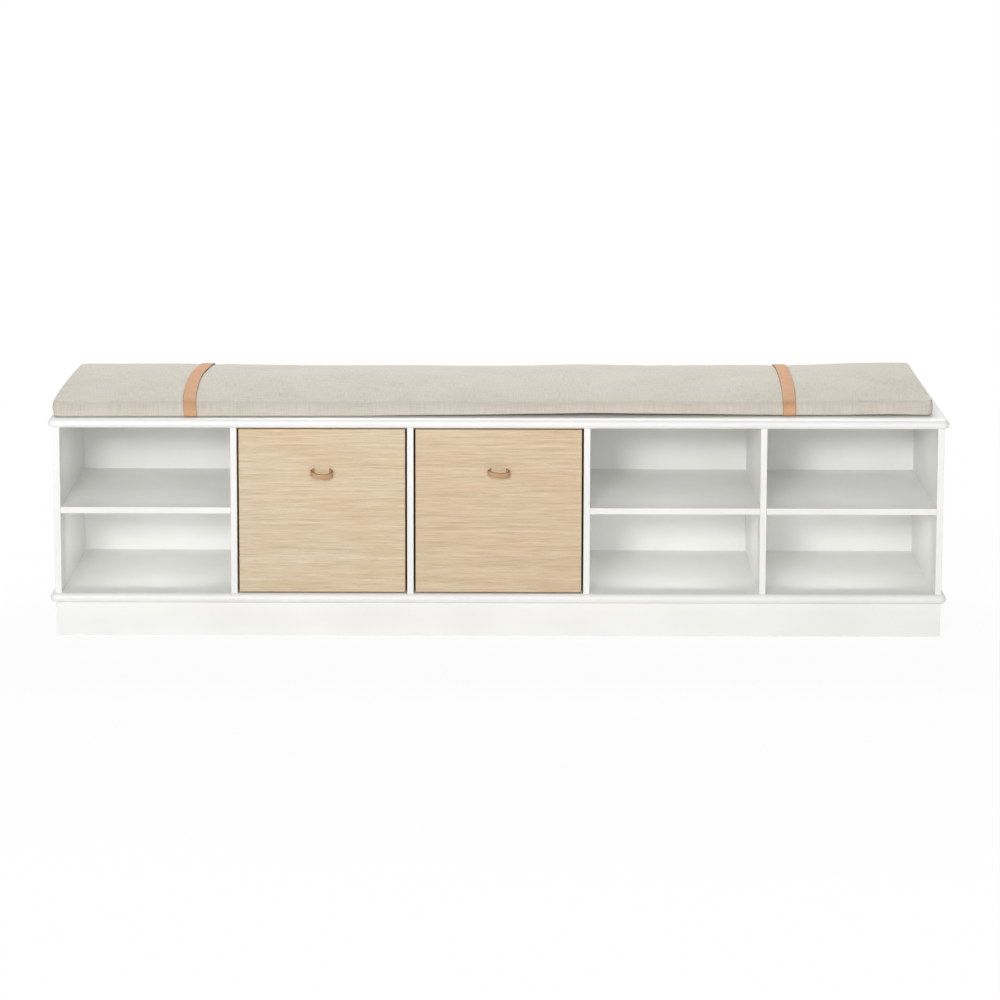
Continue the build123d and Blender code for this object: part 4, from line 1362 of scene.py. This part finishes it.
@dataclass(frozen=True)
class SoftBox:
    """One plain area lamp."""

    name: str
    place: Triple
    target: Triple
    size: tuple[float, float]
    power: float
    spread: float = 180.0           # degrees

    def build(self) -> None:
        """Hang the lamp and point it."""
        data = bpy.data.lights.new(self.name, "AREA")
        data.spread = math.radians(self.spread)
        data.shape, data.size, data.size_y, data.energy = "RECTANGLE", *self.size, self.power
        lamp = link(self.name, data)
        lamp.location = self.place
        lamp.rotation_euler = (Vector(self.target) - Vector(self.place)).to_track_quat("-Z", "Y").to_euler()


@dataclass
class Studio:
    """Pale floor, plain lamps and the camera."""

    lens: float = 119.57
    tilt: float = 0.130712          # radians below the horizontal
    roll: float = 0.002182
    camera_place: Triple = (0.00154, -6.32434, 1.58363)
    shift_y: float = -0.27
    floor_grey: str = "#f4f4f4"
    floor_half: float = 30.0
    floor_gap: float = 0.5 * MM     # below the bench
    lamps: tuple[SoftBox, ...] = (
        SoftBox("key_from_the_left", (-1.28, -6.1, 2.08), (0.0, 0.0, 0.25), (1.0, 0.6), 100.0),
        SoftBox("broad_front_fill", (0.0, -4.8, 2.2), (0.0, 0.0, 0.25), (4.0, 1.6), 59.0),
        SoftBox("low_front_fill", (0.0, -5.6, 1.4), (0.0, 0.0, 0.25), (5.0, 2.2), 28.0),
        SoftBox("left_fill", (-3.0, -5.2, 1.2), (0.0, 0.0, 0.25), (1.8, 1.8), 15.0),
        SoftBox("high_behind", (0.0, 2.25, 3.1), (0.0, 0.0, 0.35), (3.6, 0.8), 106.0),
    )
    cell_columns: Triple = (-0.666, 0.333, 0.666)               # middles of the open columns
    cell_fills: tuple[Triple, ...] = ((0.158, 0.158, 0.10),     # height of the lamp, height it is aimed at,
                                      (0.385, 0.10, 0.055))     # and power
    world_strength: float = 0.26

    @staticmethod
    def white_to_eye(add: Callable[..., Socket]) -> Socket:
        """Factor that is 1 for camera, glossy and transmission rays.

        Args:
            add: add_node for the tree.
        Returns:
            The factor.
        """
        rays = add("LightPath").node.outputs
        seen = add("Math", rays["Is Camera Ray"], rays["Is Glossy Ray"], operation="MAXIMUM")
        return add("Math", seen, rays["Is Transmission Ray"], operation="MAXIMUM")

    def floor(self) -> None:
        """Lay a pale floor that keeps the bench's shadow."""
        material, add = new_material("pale_floor")
        half = self.floor_half
        floor = new_piece("studio_floor", [(-half, -half, 0), (half, -half, 0), (half, half, 0), (-half, half, 0)],
                          [(0, 1, 2, 3)], [material])
        away = add("VectorMath", add("TexCoord", out="Object"), operation="LENGTH")
        whiteness = add("MapRange", away, 1.0, 2.6, 0.94, 1.0)
        share = add("Math", self.white_to_eye(add), whiteness, operation="MULTIPLY")
        add("OutputMaterial", add("MixShader", share, add("BsdfDiffuse", self.floor_grey),
                                  add("Emission", "#ffffff", 1.0)))
        floor.location.z = -self.floor_gap

    def world(self) -> None:
        """Plain dim light all round, white to the eye."""
        world = bpy.context.scene.world = bpy.data.worlds.new("studio")
        world.use_nodes = True
        world.node_tree.nodes.clear()
        add = partial(add_node, world.node_tree)
        dim, white = (add("Background", "#ffffff", strength) for strength in (self.world_strength, 1.0))
        add("OutputWorld", add("MixShader", self.white_to_eye(add), dim, white))

    def camera(self) -> None:
        """Set the camera in front of the bench, slightly above it."""
        data = bpy.data.cameras.new("camera")
        data.lens, data.sensor_width, data.shift_y, data.clip_end = self.lens, 36.0, self.shift_y, 100.0
        camera = link("camera", data)
        camera.location = self.camera_place
        look = Matrix.Rotation(math.pi / 2 - self.tilt, 4, "X") @ Matrix.Rotation(self.roll, 4, "Z")
        camera.rotation_euler = look.to_euler()
        bpy.context.scene.camera = camera

    def build(self) -> None:
        """Set up the view and the light."""
        bpy.context.scene.view_settings.view_transform = "Standard"
        inside = [SoftBox(f"fill_{x:g}_{z:g}", (x, -0.172, z), (x, 0.2, aim), (0.2, 0.07), power, 140.0)
                  for x in self.cell_columns for z, aim, power in self.cell_fills]
        for lamp in (*self.lamps, *inside):
            lamp.build()
        self.floor()
        self.world()
        self.camera()


def clear_start_scene() -> None:
    """Remove whatever a new file holds apart from the frame."""
    keep = set(frame["nodes"].values()) | set(frame["bodies"].values())
    for thing in set(bpy.data.objects) - keep:
        bpy.data.objects.remove(thing)


def main() -> None:
    """Build the whole scene in order."""
    logging.basicConfig(level=logging.INFO, format="%(name)s %(message)s")
    clear_start_scene()
    Case().build()
    edge, felt, steel, plywood = (finish.build() for finish in (BURNISHED_EDGE, PRESSED_FELT, ZINC_PLATED_STEEL,
                                                                RAW_BIRCH_PLY))
    # the pull loops' leather is a darker, more ochre copy of the strap leather
    loop_leather = VegetableTannedLeather(name="darker_loop_leather", face="#c9a583", tint="#c19873", pore="#ac825d").build()
    for side, leaf, oil, droop in (("left", 1.0, "#ffffff", 4.6 * MM), ("right", 9.0, "#fcf9f6", 1.1 * MM)):
        ToyBox(side, leaf, loop_leather, edge, felt, steel, plywood, oil, droop).build()
    # the boxing's copy of the linen is lighter than the top's: painted light on the front faces of the cushion
    boxing = NaturalLinen(name="natural_linen_boxing", flax="#dcd4c8", pale="#e2dbd0", dark="#d1c9bb").build()
    SeatCushion(NaturalLinen().build(), boxing, VegetableTannedLeather().build(), DARK_EDGE_AND_SHADE.build(),
                LINEN_THREAD.build()).build()
    Studio().build()


if __name__ == "__main__":
    main()
